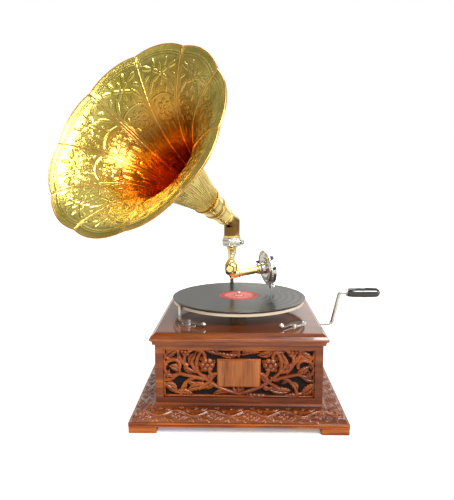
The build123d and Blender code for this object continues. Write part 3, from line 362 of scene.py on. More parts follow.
def brass(name, rough, deep, bright, grit=0.0, throat_reflection=None):
    """Polished brass with clouds of oxidised tone and hairlines; grit adds a punched ground.

    The last argument is a painted orange reflection laid deep in the bell; the bell's upper inner side
    also gets a painted dark reflection, both in place of a room's mirror images.
    """
    shader = Shader(name, Metallic=1.0)
    cloud = shader.noise(16, 4, 0.6)
    colour = shader.ramp(cloud, [(0.3, deep), (0.62, bright)])
    if throat_reflection:
        # painted orange reflection, stronger deeper in the bell
        inputs = {0: shader.place, 1: HORN_DIR}
        along = shader.node("ShaderNodeVectorMath", inputs, operation="DOT_PRODUCT")
        depth = shader.math("SUBTRACT", along.outputs["Value"], MITRE.dot(HORN_DIR))
        drift = shader.times(shader.noise(7, 1), 0.5)
        deep_in = shader.math("ADD", shader.times(depth, 3.0), drift)
        share = shader.ramp(shader.times(deep_in, 0.7), [(0.66, 1), (0.88, 0)])
        colour = shader.mix(share, colour, throat_reflection)
        # painted dark reflection on the upper inner side of the bell, away from the rim
        slant = shader.times(depth, HORN_DIR.z)
        height = shader.math("SUBTRACT", shader.parts(shader.place)["Z"], MITRE.z)
        above = shader.math("SUBTRACT", height, slant)
        wander = shader.times(shader.noise(24, 3), 0.06)
        above = shader.times(shader.math("ADD", above, wander), 5.0)
        painted_dark_reflection_band = [(0.18, 0), (0.34, 0.85), (0.52, 0.7), (0.68, 0)]
        inner = shader.ramp(shader.times(depth, 3.0), [(0.78, 1), (0.97, 0)])
        painted_dark_reflection_share = shader.mix(1.0, shader.ramp(above, painted_dark_reflection_band), inner, "MULTIPLY")
        colour = shader.mix(painted_dark_reflection_share, colour, PAINTED_DARK_REFLECTION)
    # darker hollows and lighter edges: part dirt and wear, part painted shade and painted highlight
    edges = [(0.455, (0.22, 0.12, 0.06)), (0.497, 1), (0.54, (1.2, 1.2, 1.15))]
    wear_and_painted_shade = shader.ramp(shader.pointiness(), edges)
    shader.set("Base Color", shader.mix(0.9, colour, wear_and_painted_shade, "MULTIPLY"))
    shader.set("Roughness", shader.span(shader.noise(60, 5), rough - 0.06, rough + 0.08))
    hair = shader.noise(900, 2, 0.5, shader.mapped((1, 0.04, 0.3)))
    normal = shader.bump(hair, 0.05, 0.0002)
    normal = shader.bump(shader.noise(45, 2), 0.10, 0.0006, normal)
    if grit:
        dots = shader.ramp(shader.voronoi(420), [(0.15, 1), (0.5, 0)])
        normal = shader.bump(dots, grit, 0.0004, normal)
    shader.set("Normal", normal)
    return shader.material


def nickel(name, base=(0.74, 0.74, 0.71), rough=0.16):
    """Nickel plate, a little cloudy, with small pits and wipe marks."""
    shader = Shader(name, Metallic=1.0)
    cloud = shader.noise(70, 4)
    shader.set("Base Color", shader.ramp(cloud, [(0.3, tuple(c * 0.78 for c in base)), (0.6, base)]))
    shader.set("Roughness", shader.span(shader.noise(220, 5), rough - 0.05, rough + 0.12))
    shader.set("Normal", shader.bump(shader.noise(500, 3), 0.06, 0.0002))
    return shader.material


def painted(name, colour, rough, coat=0.0, bump=0.05, scale=300):
    """Paint, rubber, lacquer and the like: slight colour drift and a fine surface."""
    shader = Shader(name, Coat_Weight=coat, Coat_Roughness=0.08)
    drift = shader.noise(40, 3)
    low = tuple(c * 0.88 for c in colour)
    shader.set("Base Color", shader.ramp(drift, [(0.35, low), (0.65, colour)]))
    shader.set("Roughness", shader.span(shader.noise(scale, 3), max(rough - 0.05, 0.02), rough + 0.07))
    shader.set("Normal", shader.bump(shader.noise(scale, 4), bump, 0.0003))
    return shader.material


def fabric(name, colour, scale=900):
    """Felt or cloth: crossed threads and sheen."""
    shader = Shader(name, Sheen_Weight=0.1, Specular_IOR_Level=0.2, Roughness=0.95)
    warp = shader.noise(scale, 2, 0.5, shader.mapped((1, 0.2, 1)))
    weft = shader.noise(scale, 2, 0.5, shader.mapped((0.2, 1, 1)))
    weave = shader.times(warp, weft)
    shader.set("Base Color", shader.ramp(weave, [(0.15, tuple(c * 0.6 for c in colour)), (0.35, colour)]))
    shader.set("Normal", shader.bump(weave, 0.4, 0.0004))
    return shader.material


def record_vinyl():
    """Black shellac: grooves that stretch the light across them, and bands between the tracks."""
    shine = {"Specular_IOR_Level": 0.75, "Coat_Weight": 0.2, "Coat_Roughness": 0.1}
    shader = Shader("shellac", Anisotropic=0.75, **shine)
    tangent = shader.node("ShaderNodeTangent", direction_type="RADIAL", axis="Z")
    shader.set("Tangent", tangent.outputs[0])
    _, radius = shader.about_spindle()
    band = shader.math("SINE", shader.times(radius, 2 * math.pi / TRACK_BAND))
    bands = shader.ramp(shader.span(band, 0.0, 1.0), [(0.0, 0), (0.2, 1)])
    shader.set("Roughness", shader.span(bands, 0.14, 0.27))
    shader.set("Normal", shader.bump(bands, 0.2, 0.0002))
    dust = shader.ramp(shader.noise(700, 2), [(0.60, (0.010, 0.014, 0.012)), (0.78, (0.04, 0.05, 0.045))])
    shader.set("Base Color", dust)
    return shader.material


def label_paper():
    """Red label: two rings, a pale band of plain bars where a real one has print, and a light middle."""
    shader = Shader("label_paper", Roughness=0.55)
    centred, away = shader.about_spindle()
    radius = shader.math("DIVIDE", away, LABEL_R)
    red, dark, pale = (0.60, 0.055, 0.06), (0.20, 0.02, 0.02), (0.85, 0.62, 0.55)
    stops = [(0.0, pale), (0.17, pale), (0.19, red), (0.80, red), (0.82, dark), (0.84, dark)]
    stops += [(0.86, red), (0.94, red), (0.95, dark), (0.97, dark), (0.98, red)]
    rings = shader.ramp(radius, stops, "CONSTANT")
    across = shader.parts(centred)["Y"]
    rows = shader.math("SINE", shader.times(across, 2 * math.pi / PRINT_ROW))
    broken = shader.noise(260, 1, 0.5, shader.mapped((1, 0.15, 0)))
    bars = shader.math("GREATER_THAN", shader.times(rows, broken), 0.30)
    off_band = shader.math("ABSOLUTE", shader.math("SUBTRACT", radius, 0.5))
    inside = shader.math("LESS_THAN", off_band, 0.22)
    print_share = shader.times(shader.times(bars, inside), 0.8)
    colour = shader.mix(print_share, rings, pale)
    soiled = shader.ramp(shader.noise(500, 4), [(0.3, 0.7), (0.6, 1)])
    colour = shader.mix(0.25, colour, soiled, "MULTIPLY")
    shader.set("Base Color", colour)
    shader.set("Normal", shader.bump(shader.noise(1500, 2), 0.1, 0.0001))
    return shader.material


CASE_TONES = (0.05, 0.007, 0.001), (0.125, 0.025, 0.002), (0.27, 0.075, 0.006)
LID_TONES = (0.06, 0.009, 0.001), (0.14, 0.028, 0.003), (0.26, 0.065, 0.006)
PLAQUE_TONES = (0.10, 0.020, 0.003), (0.26, 0.075, 0.012), (0.38, 0.135, 0.028)
# painted reflections for the horn's inside: dark for its upper side, orange deep in the bell
PAINTED_DARK_REFLECTION, THROAT_REFLECTION = (0.13, 0.05, 0.014), (0.88, 0.34, 0.03)
LABEL_R, PRINT_ROW, TRACK_BAND = 0.037, 0.0052, 0.0125
carved = wood("carved_wood", "x", CASE_TONES, 0.26, 0.3)
carved_side = wood("carved_wood_side", "y", CASE_TONES, 0.26, 0.3)
frame_front = wood("frame_wood", "x", CASE_TONES, 0.36, 0.2, wear_and_painted_shade=False)
frame_side = wood("frame_wood_side", "y", CASE_TONES, 0.36, 0.2, wear_and_painted_shade=False)
lid_wood = wood("lid_wood", "x", LID_TONES, 0.2, 0.8, wear_and_painted_shade=False)
plaque_wood = wood("plaque_wood", "z", PLAQUE_TONES, 0.4, 0.15, wear_and_painted_shade=False)
horn_brass = brass("horn_brass", 0.17, (0.55, 0.42, 0.06), (0.80, 0.67, 0.17), 0.18, THROAT_REFLECTION)
horn_back = brass("horn_back", 0.2, (0.58, 0.44, 0.09), (0.82, 0.70, 0.24), 0.18)
tube_brass = brass("tube_brass", 0.13, (0.62, 0.46, 0.12), (0.86, 0.72, 0.30))
seam_brass = brass("seam_brass", 0.2, (0.44, 0.22, 0.05), (0.64, 0.38, 0.10))
plate_nickel = nickel("nickel_plate")
dark_nickel = nickel("dark_nickel", (0.30, 0.30, 0.30), 0.2)
motor_steel = nickel("motor_steel", (0.42, 0.43, 0.44), 0.32)
blue_steel = nickel("blued_steel", (0.10, 0.13, 0.22), 0.22)
backing = fabric("backing_cloth", (0.006, 0.005, 0.005))
felt = fabric("platter_felt", (0.10, 0.02, 0.02))
rim_paint = painted("platter_rim", (0.52, 0.42, 0.30), 0.28, 0.4)
black_gloss = painted("black_lacquer", (0.010, 0.010, 0.011), 0.12, 0.8, bump=0.02)
black_screw = painted("black_screw", (0.015, 0.014, 0.014), 0.3)
iron = painted("bracket_iron", (0.018, 0.018, 0.018), 0.34, 0.3, bump=0.12, scale=500)
rubber = painted("gasket_rubber", (0.02, 0.02, 0.02), 0.7)
leather = painted("brake_leather", (0.16, 0.07, 0.03), 0.75, bump=0.5, scale=900)
mica = painted("mica", (0.62, 0.56, 0.40), 0.15, 0.6)
shellac = record_vinyl()
label = label_paper()

FINISHES = (
    (carved, "corner_feet plinth_front plinth_back front_fretwork"),
    (carved_side, "plinth_left plinth_right left_fretwork right_fretwork"),
    (frame_front, "bottom_board front_frame back_panel"),
    (frame_side, "left_frame right_frame"),
    (backing, "fret_backings"), (plaque_wood, "name_plaque"), (lid_wood, "cornice top_board"),
    (motor_steel, "motor_plate motor_base_plate motor_pillars governor_brackets spring_barrel"),
    (motor_steel, "barrel_cover winding_arbor governor_shaft"),
    (blue_steel, "mainspring"),
    (seam_brass, "spindle_gears winding_pinion governor_weights"),
    (rim_paint, "platter"), (felt, "felt_mat"), (shellac, "record"), (label, "record_label"),
    (black_gloss, "crank_handle"), (leather, "brake_pad"), (iron, "horn_bracket"),
    (horn_brass, "horn_petals"),
    (tube_brass, "horn_elbow horn_neck tonearm_turret tonearm_tube gooseneck gooseneck_screw"),
    (tube_brass, "reproducer_tube"),
    (rubber, "soundbox_gasket"), (mica, "diaphragm"),
)
finish_of = {name: finish for finish, names in FINISHES for name in names.split()}
for node_name, node in nodes.items():
    node.data.materials.clear()
    node.data.materials.append(finish_of.get(node_name, plate_nickel))


# ---- camera, lights and floor
SENSOR_MM, LENS_MM = 36.0, 36.03
EYE_AT, LOOK_DOWN_DEG, LOOK_LEFT_DEG = (-0.0022, -0.924, 0.3967), 7.73, 1.25


def make_camera():
    """A standing viewer's eye a little above the record, turned slightly to the horn's side."""
    data = bpy.data.cameras.new("camera")
    data.sensor_width, data.lens = SENSOR_MM, LENS_MM
    data.clip_end = 50
    camera = bpy.data.objects.new("camera", data)
    camera.location = EYE_AT
    camera.rotation_euler = (math.radians(90 - LOOK_DOWN_DEG), 0, math.radians(LOOK_LEFT_DEG))
    into_scene(camera)
    bpy.context.scene.camera = camera


def area_light(name, location, target, size, power):
    data = bpy.data.lights.new(name, "AREA")
    data.shape, data.size, data.energy = "SQUARE", size, power
    lamp = bpy.data.objects.new(name, data)
    lamp.location = location
    lamp.rotation_euler = (Vector(target) - Vector(location)).to_track_quat("-Z", "Y").to_euler()
    into_scene(lamp)


def make_studio():
    """Pale floor, a white room for the eye, and a room of light and dark zones for the metal to mirror."""
    bpy.ops.mesh.primitive_plane_add(size=14, location=(0, 0, -0.0005))
    floor = bpy.context.object
    floor.name = "studio_floor"
    shader = Shader("studio_floor", Roughness=0.8)
    path = shader.node("ShaderNodeLightPath")
    pale = shader.ramp(shader.noise(2, 2), [(0.3, 0.82), (0.7, 0.86)])
    shader.set("Base Color", shader.mix(path.outputs["Is Glossy Ray"], pale, (0.42, 0.38, 0.33)))
    shader.set("Emission Color", (1, 1, 1, 1))
    spread = shader.math("DIVIDE", shader.length(shader.place), 3.0)
    glow = shader.ramp(spread, [(0.07, 0.25), (0.17, 0.50), (0.5, 1)])
    mirrored = shader.times(path.outputs["Is Glossy Ray"], 0.65)
    seen = shader.math("SUBTRACT", 1.0, mirrored)
    shader.set("Emission Strength", shader.times(glow, seen))
    floor.data.materials.append(shader.material)

    world = bpy.data.worlds.new("studio")
    bpy.context.scene.world = world
    world.use_nodes = True
    room = Nodes(world.node_tree, "Generated")
    axes = room.parts(room.place)

    def zone(value, *levels):
        """A smooth step of brightness: where it starts and ends, brightness before and after it."""
        inputs = dict(enumerate((value, *levels)))
        return room.node("ShaderNodeMapRange", inputs, interpolation_type="SMOOTHSTEP").outputs[0]

    walls, *others = (
        zone(axes["X"], 0.25, 0.75, 0.12, 1.0),
        zone(axes["Y"], 0.3, 0.9, 0.0, 0.9),
        zone(axes["Z"], 0.3, 0.95, 0.0, 0.45),
        zone(axes["X"], -0.95, -0.5, 0.3, 0.0),
        zone(axes["Y"], -0.95, -0.3, 0.75, 0.0),
    )
    for other in others:
        walls = room.math("ADD", walls, other)
    patches = zone(room.noise(3.4, 2.0, 0.5), 0.42, 0.58, 0.45, 1.3)
    walls = {"Color": (1.0, 0.97, 0.92, 1), "Strength": room.times(walls, patches)}
    mirrored = room.node("ShaderNodeBackground", walls).outputs[0]
    plain = room.node("ShaderNodeBackground", {"Color": (1, 1, 1, 1)}).outputs[0]
    camera_ray = room.node("ShaderNodeLightPath").outputs["Is Camera Ray"]
    seen = room.node("ShaderNodeMixShader", {0: camera_ray, 1: mirrored, 2: plain})
    room.feed(room.tree.nodes["World Output"].inputs[0], seen.outputs[0])

    area_light("key_box", (0.9, -1.6, 1.7), (-0.1, 0, 0.4), 0.9, 44)
    area_light("left_box", (-1.2, -0.8, 2.1), (-0.1, 0, 0.4), 0.9, 26)
    area_light("right_box", (1.9, -0.5, 0.55), (-0.2, 0, 0.5), 0.5, 7)
    area_light("top_box", (0.2, 0.9, 2.2), (0, 0, 0.2), 1.0, 22)
    bpy.context.scene.view_settings.view_transform = "Standard"


make_camera()
make_studio()

# ---- horn: pressed petals, twisted seams, wired rim
SHEET = 0.8
PETALS, PETAL_DEG, FIRST_PETAL = 10, 36.0, 19.91
CUSP_R, CREST_R = 173.5, 178.5
FLARE = [(105, 27), (175, 43), (235, 61.5), (285, 95), (322, 144), (334, 172), (337, 185)]
NECK_BEADS = (  # along the axis, radius, thickness
    (33, 18.7, 1.0), (66.6, 23.0, 0.8), (74.4, 23.8, 0.8),
    (99.5, 26.7, 0.9), (106.2, 29.0, 0.9),
)
NECK_FROM, NECK_TO, NECK_R, NECK_TAPER = 35, 99, 17.6, 0.128


def flare_curve(samples=400):
    """The bell's outer line, smoothed through its points: arrays of axis distance, radius, length."""
    knots = np.array(FLARE, float)
    first, last = 2 * knots[0] - knots[1], 2 * knots[-1] - knots[-2]
    padded = np.vstack([first, knots, last])
    line = []
    for i in range(1, len(padded) - 2):
        p0, p1, p2, p3 = padded[i - 1 : i + 3]
        t = np.linspace(0, 1, samples // (len(knots) - 1), endpoint=False)[:, None]
        square, cube = 2 * p0 - 5 * p1 + 4 * p2 - p3, 3 * p1 - p0 - 3 * p2 + p3
        line.append(0.5 * (2 * p1 + (p2 - p0) * t + square * t**2 + cube * t**3))
    line = np.vstack([*line, knots[-1:]])
    length = np.concatenate([[0], np.cumsum(np.hypot(*np.diff(line, axis=0).T))])
    return line[:, 0], line[:, 1], length


FLARE_S, FLARE_R, FLARE_L = flare_curve()
SLOPE_S, SLOPE_R = np.gradient(FLARE_S, FLARE_L), np.gradient(FLARE_R, FLARE_L)


def bell_point(length, angle, lift):
    """Points on the bell: length up the flare, angle about the axis, lift towards the inside, in mm."""
    s, r = np.interp(length, FLARE_L, FLARE_S), np.interp(length, FLARE_L, FLARE_R)
    ds, dr = np.interp(length, FLARE_L, SLOPE_S), np.interp(length, FLARE_L, SLOPE_R)
    s, r = s + lift * dr, r - lift * ds
    x, y = r * np.cos(angle), r * np.sin(angle)
    axes = (x, HORN_X), (y, HORN_Y), (s, HORN_DIR)
    return np.array(MITRE) + MM * sum(value[..., None] * np.array(axis) for value, axis in axes)


def rim_length(angle):
    """How far up the flare the scalloped rim lies, for an angle from the petal's middle."""
    share = (angle / math.radians(PETAL_DEG / 2)) ** 2
    return np.interp(CREST_R - (CREST_R - CUSP_R) * share, FLARE_R, FLARE_L)


def line_ridge(distance, width):
    return np.exp(-((distance / width) ** 2))


def dome(w, d, at_w, at_d, long, wide, turn):
    """Rounded oval boss, 0 to 1, with its own lengthwise and crosswise coordinates."""
    c, s = cos_sin(turn)
    u, v = (w - at_w) * c + (d - at_d) * s, -(w - at_w) * s + (d - at_d) * c
    inside = np.clip(1 - (2 * u / long) ** 2 - (2 * v / wide) ** 2, 0, 1)
    return np.sqrt(inside), u, v


def leaf(w, d, *shape):
    """A boss with a midrib and slanting veins."""
    body, u, v = dome(w, d, *shape)
    veins = 0.75 + 0.25 * np.cos(2 * math.pi * (u * 0.8 - np.abs(v)) / 3.2)
    return body * veins * (1 - 0.7 * line_ridge(v, 0.7))


def blossom(w, d, at_w, at_d, petals, reach, wide, core):
    """Radial petals about a button."""
    shape = dome(w, d, at_w, at_d, core, core, 0)[0] * 1.15
    for number in range(petals):
        turn = 360 / petals * number + 90
        away = reach / 2 + core * 0.32
        c, s = cos_sin(turn)
        shape = np.maximum(shape, leaf(w, d, at_w + away * c, at_d + away * s, reach, wide, turn))
    return shape


PETAL_LEAVES = (  # across from the middle, in from the rim, length, width, turn; each is mirrored
    (30, 31, 24, 8, -28), (14, 27, 17, 6, -70), (33, 48, 20, 7, 25),
    (22, 62, 26, 8, 62), (27, 71, 13, 5, 10), (9, 72, 17, 6, 100),
    (19, 93, 15, 6, 70), (14, 118, 20, 7, 108), (17, 133, 16, 5, 75),
    (7, 140, 24, 7, 84), (10, 163, 20, 6, 96), (4, 176, 24, 5, 88),
)


def petal_relief(w, d, edge):
    """Height of the pressed pattern: w across, d in from the rim, edge from the seam, all in mm."""
    field = np.minimum(d - 10.5, (edge - 4.5) * 1.5)
    height = 0.75 * line_ridge(field, 0.9) + 0.55 * line_ridge(field - 3.6, 0.8)
    inside = np.clip((field - 4.5) / 1.5, 0, 1) * np.clip((212 - d) / 10, 0, 1)
    dots = np.clip(np.cos(2 * math.pi * w / 4.2) * np.cos(2 * math.pi * d / 4.2), 0, 1)
    figure = blossom(w, d, 0, 47, 6, 17, 6.5, 7)
    figure = np.maximum(figure, blossom(w, d, 0, 103, 6, 13, 8.5, 7))
    for across, deep, long, wide, turn in PETAL_LEAVES:
        for side in (1, -1):
            lean = turn if side == 1 else 180 - turn
            figure = np.maximum(figure, leaf(w, d, side * across, deep, long, wide, lean))
    arch = d - (80 + 0.006 * w**2)
    figure = np.maximum(figure, 0.7 * line_ridge(arch, 0.9))
    arch = d - (124 - 0.02 * w**2)
    figure = np.maximum(figure, 0.7 * line_ridge(arch, 0.9))
    ground = (1 - np.clip(figure * 3, 0, 1)) * (0.28 * dots - 0.35)
    fan = np.cos(2 * math.pi * w / np.maximum(edge + np.abs(w), 1) * 4)
    rays = np.clip((d - 190) / 20, 0, 1) * 0.45 * fan
    return 0.8 * height + inside * (1.05 * figure + 0.8 * ground) + rays


def make_petal(number):
    """One pressed sheet from the neck to the scalloped rim, the same relief on both faces."""
    rows, columns = ((300, 96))
    half = math.radians(PETAL_DEG / 2 - 0.05)
    angle, share = np.meshgrid(np.linspace(-half, half, columns), np.linspace(0, 1, rows))
    length = share * rim_length(angle)
    radius = np.interp(length, FLARE_L, FLARE_R)
    w, edge = radius * angle, radius * (math.radians(PETAL_DEG / 2) - np.abs(angle))
    d = rim_length(angle) - length
    lift = petal_relief(w, d, edge) + 0.4 * line_ridge(edge, 3.0)
    turn = angle + math.radians(FIRST_PETAL + PETAL_DEG * number)
    outer, inner = bell_point(length, turn, lift), bell_point(length, turn, lift + SHEET)
    faces = shell_faces(rows, columns)
    points = np.vstack([outer.reshape(-1, 3), inner.reshape(-1, 3)])
    piece = mesh_object(f"horn_petal_{number + 1:02d}", points, faces, horn_back)
    piece.data.materials.append(horn_brass)
    skin = (rows - 1) * (columns - 1)
    for polygon in piece.data.polygons[skin : 2 * skin]:
        polygon.material_index = 1
    finish_piece(piece, "horn", "polished_brass", "horn_petals")


def make_seam(number):
    """The raised joint between two petals, twisted like cord."""
    angle = math.radians(FIRST_PETAL + PETAL_DEG * (number + 0.5))
    reach = np.interp(CUSP_R, FLARE_R, FLARE_L)
    lengths = np.linspace(0.5, reach, 420)
    ones = np.full(lengths.shape, 1.0)
    path = [Vector(p) for p in bell_point(lengths, angle * ones, 0.9 * ones)]

    def twist(turn, travelled):
        return 1 + 0.13 * math.cos(2 * turn + 2 * math.pi * travelled / 0.011)

    name = f"horn_seam_{number + 1:02d}"
    cord = tube_mesh(name, path, lambda t: (1.0 + 0.6 * t) * MM, seam_brass, 14, twist=twist)
    finish_piece(cord, "horn", "polished_brass")


def bead_profile(at, radius, thick, steps):
    """The round section of a ring: along the axis and out from it, in mm."""
    turns = np.linspace(0, 2 * math.pi, steps)
    return [(at + thick * math.cos(a), radius + thick * math.sin(a)) for a in turns]


def make_horn():
    for number in range(PETALS):
        make_petal(number)
        make_seam(number)
    half = math.radians(PETAL_DEG / 2)
    path = []
    for number in range(PETALS):
        for local in np.linspace(-half, half, 24, endpoint=False):
            turn = np.array([local + math.radians(FIRST_PETAL + PETAL_DEG * number)])
            path.append(Vector(bell_point(rim_length(np.array([local])), turn, np.array([0.4]))[0]))
    rim = tube_mesh("horn_rim_wire", path, lambda t: 1.5 * MM, seam_brass, 12, closed=True)
    finish_piece(rim, "horn", "polished_brass")
    for number, (at, radius, thick) in enumerate(NECK_BEADS):
        ring = bead_profile(at, radius, thick, 17)
        name = f"neck_bead_{number + 1}"
        turned(name, MITRE, HORN_DIR, ring, seam_brass, 72, "horn", slot="polished_brass")
    spoke = (HORN_X * 0.55 + HORN_Y * 0.83).normalized()
    path = []
    for s in np.linspace(NECK_FROM, NECK_TO, 30):
        path.append(MITRE + HORN_DIR * s * MM + spoke * (NECK_R + (s - NECK_FROM) * NECK_TAPER) * MM)
    strip = tube_mesh("neck_lap_seam", path, lambda t: 1.1 * MM, seam_brass, 10)
    finish_piece(strip, "horn", "polished_brass")


# ---- carved case
MID_Z, FRET_AT, FRET_T, PANEL_W = 84.5, 135.0, 5.0, 249
BORDER, SOFT_EDGE = 2.6, 0.7
VINES = (  # three points of each stem, mirrored, on a panel 249 by 82 mm about its middle
    ((0, -36), (-40, -21), (-68, 2)), ((-68, 2), (-90, 22), (-80, 38)),
    ((-80, 38), (-62, 38), (-56, 24)), ((-57, -12), (-80, -6), (-100, -2)),
    ((-100, -2), (-123, 10), (-112, 21)), ((-112, 21), (-99, 18), (-98, 8)),
    ((-72, -8), (-86, -16), (-96, -38)), ((-104, -3), (-114, -12), (-123, -12)),
    ((-84, 12), (-98, 26), (-100, 40)), ((-45, -19), (-42, -4), (-34, -1)),
    ((-68, 2), (-70, 16), (-62, 36)), ((-112, 22), (-122, 28), (-124, 38)),
    ((-66, -27), (-58, -22), (-48, -15)), ((-78, 20), (-75, 10), (-69, 4)),
    ((-50, 8), (-47, -1), (-44, -8)),
)
LEAVES = (  # middle, length, width, turn
    (-66, -27, 42, 16, 8), (-113, -27, 32, 16, -40), (-110, 32, 32, 16, 35),
    (-44, -8, 24, 12, 40), (-105, 6, 24, 13, -30), (-76, 24, 26, 12, 62),
    (-26, -36, 40, 10, 6), (-117, -4, 20, 10, 75), (-44, 35, 30, 13, -20),
    (-90, -36, 34, 11, -6), (-84, 8, 26, 11, 118), (-96, 22, 20, 9, 150),
    (-92, -22, 22, 9, -120), (-45, -24, 20, 9, 30), (-64, 37, 22, 9, 10),
    (-120, 14, 18, 9, 60), (-78, -16, 20, 8, 160), (-60, -9, 22, 8, 15),
)
FLOWERS = ((-52, 13, 12), (-88, 36, 9))
BERRIES = (-62, 24), (-66, 15), (-60, 5), (-41, 19), (-57, 29)


class Panel:
    """A wall's carving plane: place(x, z, out) turns panel millimetres into the frame."""

    def __init__(self, turn, width):
        c, s = cos_sin(turn)
        self.along, self.out = Vector((c, s, 0)), Vector((s, -c, 0))
        self.scale = width / PANEL_W
        self.points, self.faces = [], []

    def place(self, x, z, out):
        level = Vector((0, 0, (MID_Z + z) * MM))
        return level + self.along * x * MM + self.out * (FRET_AT + out) * MM

    def sheet(self, rows, columns, spot, wrap=False):
        """A closed lump: spot(row, column) gives x, z and height; the back is flat."""
        base = len(self.points)
        front, back = [], []
        for row in range(rows):
            for column in range(columns):
                x, z, high = spot(row, column)
                front.append(self.place(x, z, high))
                back.append(self.place(x, z, -FRET_T))
        self.points += front + back
        self.faces += [tuple(base + i for i in face) for face in shell_faces(rows, columns, wrap)]

    def stem(self, start, middle, end, wide=3.3):
        """A rounded stem on the arc through three points, tapering a little to its end."""
        (ax, az), (bx, bz), (cx, cz) = start, middle, end
        twice = 2 * (ax * (bz - cz) + bx * (cz - az) + cx * (az - bz))
        sa, sb, sc = ax**2 + az**2, bx**2 + bz**2, cx**2 + cz**2
        ux = (sa * (bz - cz) + sb * (cz - az) + sc * (az - bz)) / twice
        uz = (sa * (cx - bx) + sb * (ax - cx) + sc * (bx - ax)) / twice
        radius = math.hypot(ax - ux, az - uz)
        a0, a1, a2 = (math.atan2(z - uz, x - ux) for x, z in (start, middle, end))
        sweep = (a2 - a0) % (2 * math.pi)
        if (a1 - a0) % (2 * math.pi) > sweep:
            sweep -= 2 * math.pi
        steps = 26

        def spot(row, column):
            share, cross = row / steps, column / 8 * 2 - 1
            angle = a0 + sweep * share
            half = wide * (1 - 0.18 * share)
            away = radius + cross * half
            lump = math.sqrt(max(1 - cross * cross, 0))
            return ux + away * math.cos(angle), uz + away * math.sin(angle), -2.4 + 2.7 * lump

        self.sheet(steps + 1, 9, spot)

    def leaf(self, x, z, long, wide, turn):
        """A toothed leaf with a midrib and slanting veins."""
        c, s = cos_sin(turn)

        def spot(row, column):
            t, cross = row / 36, column / 16 * 2 - 1
            spread = math.sin(math.pi * min(max(t, 0.01), 0.99)) ** 0.75 * (1.12 - 0.3 * t)
            tooth = 1 - 0.16 * ((t * 6) % 1)
            v = cross * wide / 2 * spread * tooth
            u = (t - 0.5) * long + 0.10 * long * abs(cross) ** 2 * (0.5 - t)
            bend = 0.10 * long * math.sin(math.pi * t)
            vein = abs(((t * 6 - abs(cross) * 0.9) % 1) - 0.5) * 2
            crown = (1 - cross * cross) ** 0.5 if abs(cross) < 1 else 0
            midrib = 1.5 * math.exp(-((cross / 0.13) ** 2))
            high = -2.2 + 2.6 * crown * spread - 0.8 * vein * abs(cross) * crown - midrib
            return x + u * c - (v + bend) * s, z + u * s + (v + bend) * c, high

        self.sheet(37, 17, spot)

    def flower(self, x, z, radius, petals=6, squash=1.0):
        """Domed petals about a button."""

        def spot(row, column):
            share, angle = row / 14, 2 * math.pi * column / 72
            lobe = abs(math.cos(petals * angle / 2))
            out = radius * share * (0.78 + 0.22 * lobe**0.6)
            if share < 0.3:
                high = 0.4 + 1.1 * math.sqrt(1 - (share / 0.31) ** 2)
            else:
                t = (share - 0.3) / 0.7
                swell = 2.3 * math.sin(math.pi * min(t + 0.05, 1)) * lobe**0.5
                high = -1.9 + swell - 0.5 * math.cos(3 * petals * angle) * t * (1 - t)
            return x + out * math.cos(angle), z + out * math.sin(angle) * squash, high

        self.sheet(15, 72, spot, wrap=True)

    def bar(self, x0, z0, x1, z1, high=0.0):
        """A straight piece of the panel's border, softened at its edges."""
        xs = x0, x0 + SOFT_EDGE, x1 - SOFT_EDGE, x1
        zs = z0, z0 + SOFT_EDGE, z1 - SOFT_EDGE, z1

        def spot(row, column):
            outer = row in (0, 3) or column in (0, 3)
            return xs[row], zs[column], high - (SOFT_EDGE if outer else 0)

        self.sheet(4, 4, spot)


def make_fretwork(side, turn, width):
    """The pierced and carved vine panel of one wall."""
    panel = Panel(turn, width)
    k = panel.scale
    half, tall = width / 2, 41.0
    panel.bar(-half, -tall, half, -tall + BORDER, -0.6)
    panel.bar(-half, tall - BORDER, half, tall, -0.6)
    panel.bar(-half, -tall, -half + BORDER, tall, -0.6)
    panel.bar(half - BORDER, -tall, half, tall, -0.6)
    for mirror in (1, -1):
        for points in VINES:
            panel.stem(*((mirror * x * k, z) for x, z in points))
        for x, z, long, wide, lean in LEAVES:
            panel.leaf(mirror * x * k, z, long, wide, lean if mirror == 1 else 180 - lean)
        for x, z, radius in FLOWERS:
            panel.flower(mirror * x * k, z, radius)
        for x, z in BERRIES:
            panel.flower(mirror * x * k, z, 3.4, 5)
    if side == "front":
        panel.bar(-36, -24, 36, 24, -0.2)
        for lean in (62, 90, 118):
            panel.leaf(0.2 * (90 - lean), -31, 17, 8, lean)
        panel.leaf(0, 34, 17, 9, 90)
        for mirror in (1, -1):
            panel.leaf(mirror * 19, 33, 38, 10, 8 if mirror == 1 else 172)
            panel.leaf(mirror * 9, 37, 20, 7, -28 if mirror == 1 else 208)
    else:
        panel.bar(-8, -tall + 2, 8, tall - 2, -1.4)
        panel.flower(0, 0, 33, 8, 0.66)
        panel.flower(0, 0, 14, 6)
    finish = carved if side == "front" else carved_side
    piece = mesh_object(f"{side}_fretwork_carving", panel.points, panel.faces, finish)
    mark_sharp(piece, 50)
    finish_piece(piece, "case", "carved_wood", f"{side}_fretwork")


RAIL_LEAVES = (  # across, share of the slope's height, length, width, turn
    (13, 0.28, 15, 6, 25), (-13, 0.72, 15, 6, 25), (19, 0.68, 14, 6, 120),
    (-19, 0.3, 14, 6, 120), (27, 0.45, 12, 7, 60), (8, 0.82, 11, 4.5, -25),
    (-8, 0.15, 11, 4.5, -25), (-28, 0.78, 13, 5, 10), (28, 0.16, 13, 5, 10),
)
RAIL_FOOT = ((118, 10), (175.2, 10), (176, 10.8), (176, 13.2), (175.4, 13.6), (175.4, 14.0), (176, 14.4))
RAIL_SLOPE, RAIL_BEND = ((176, 17), (162, 26.5), (141, 32.5)), 0.46
RAIL_LEDGE = ((140, 35), (118, 35))


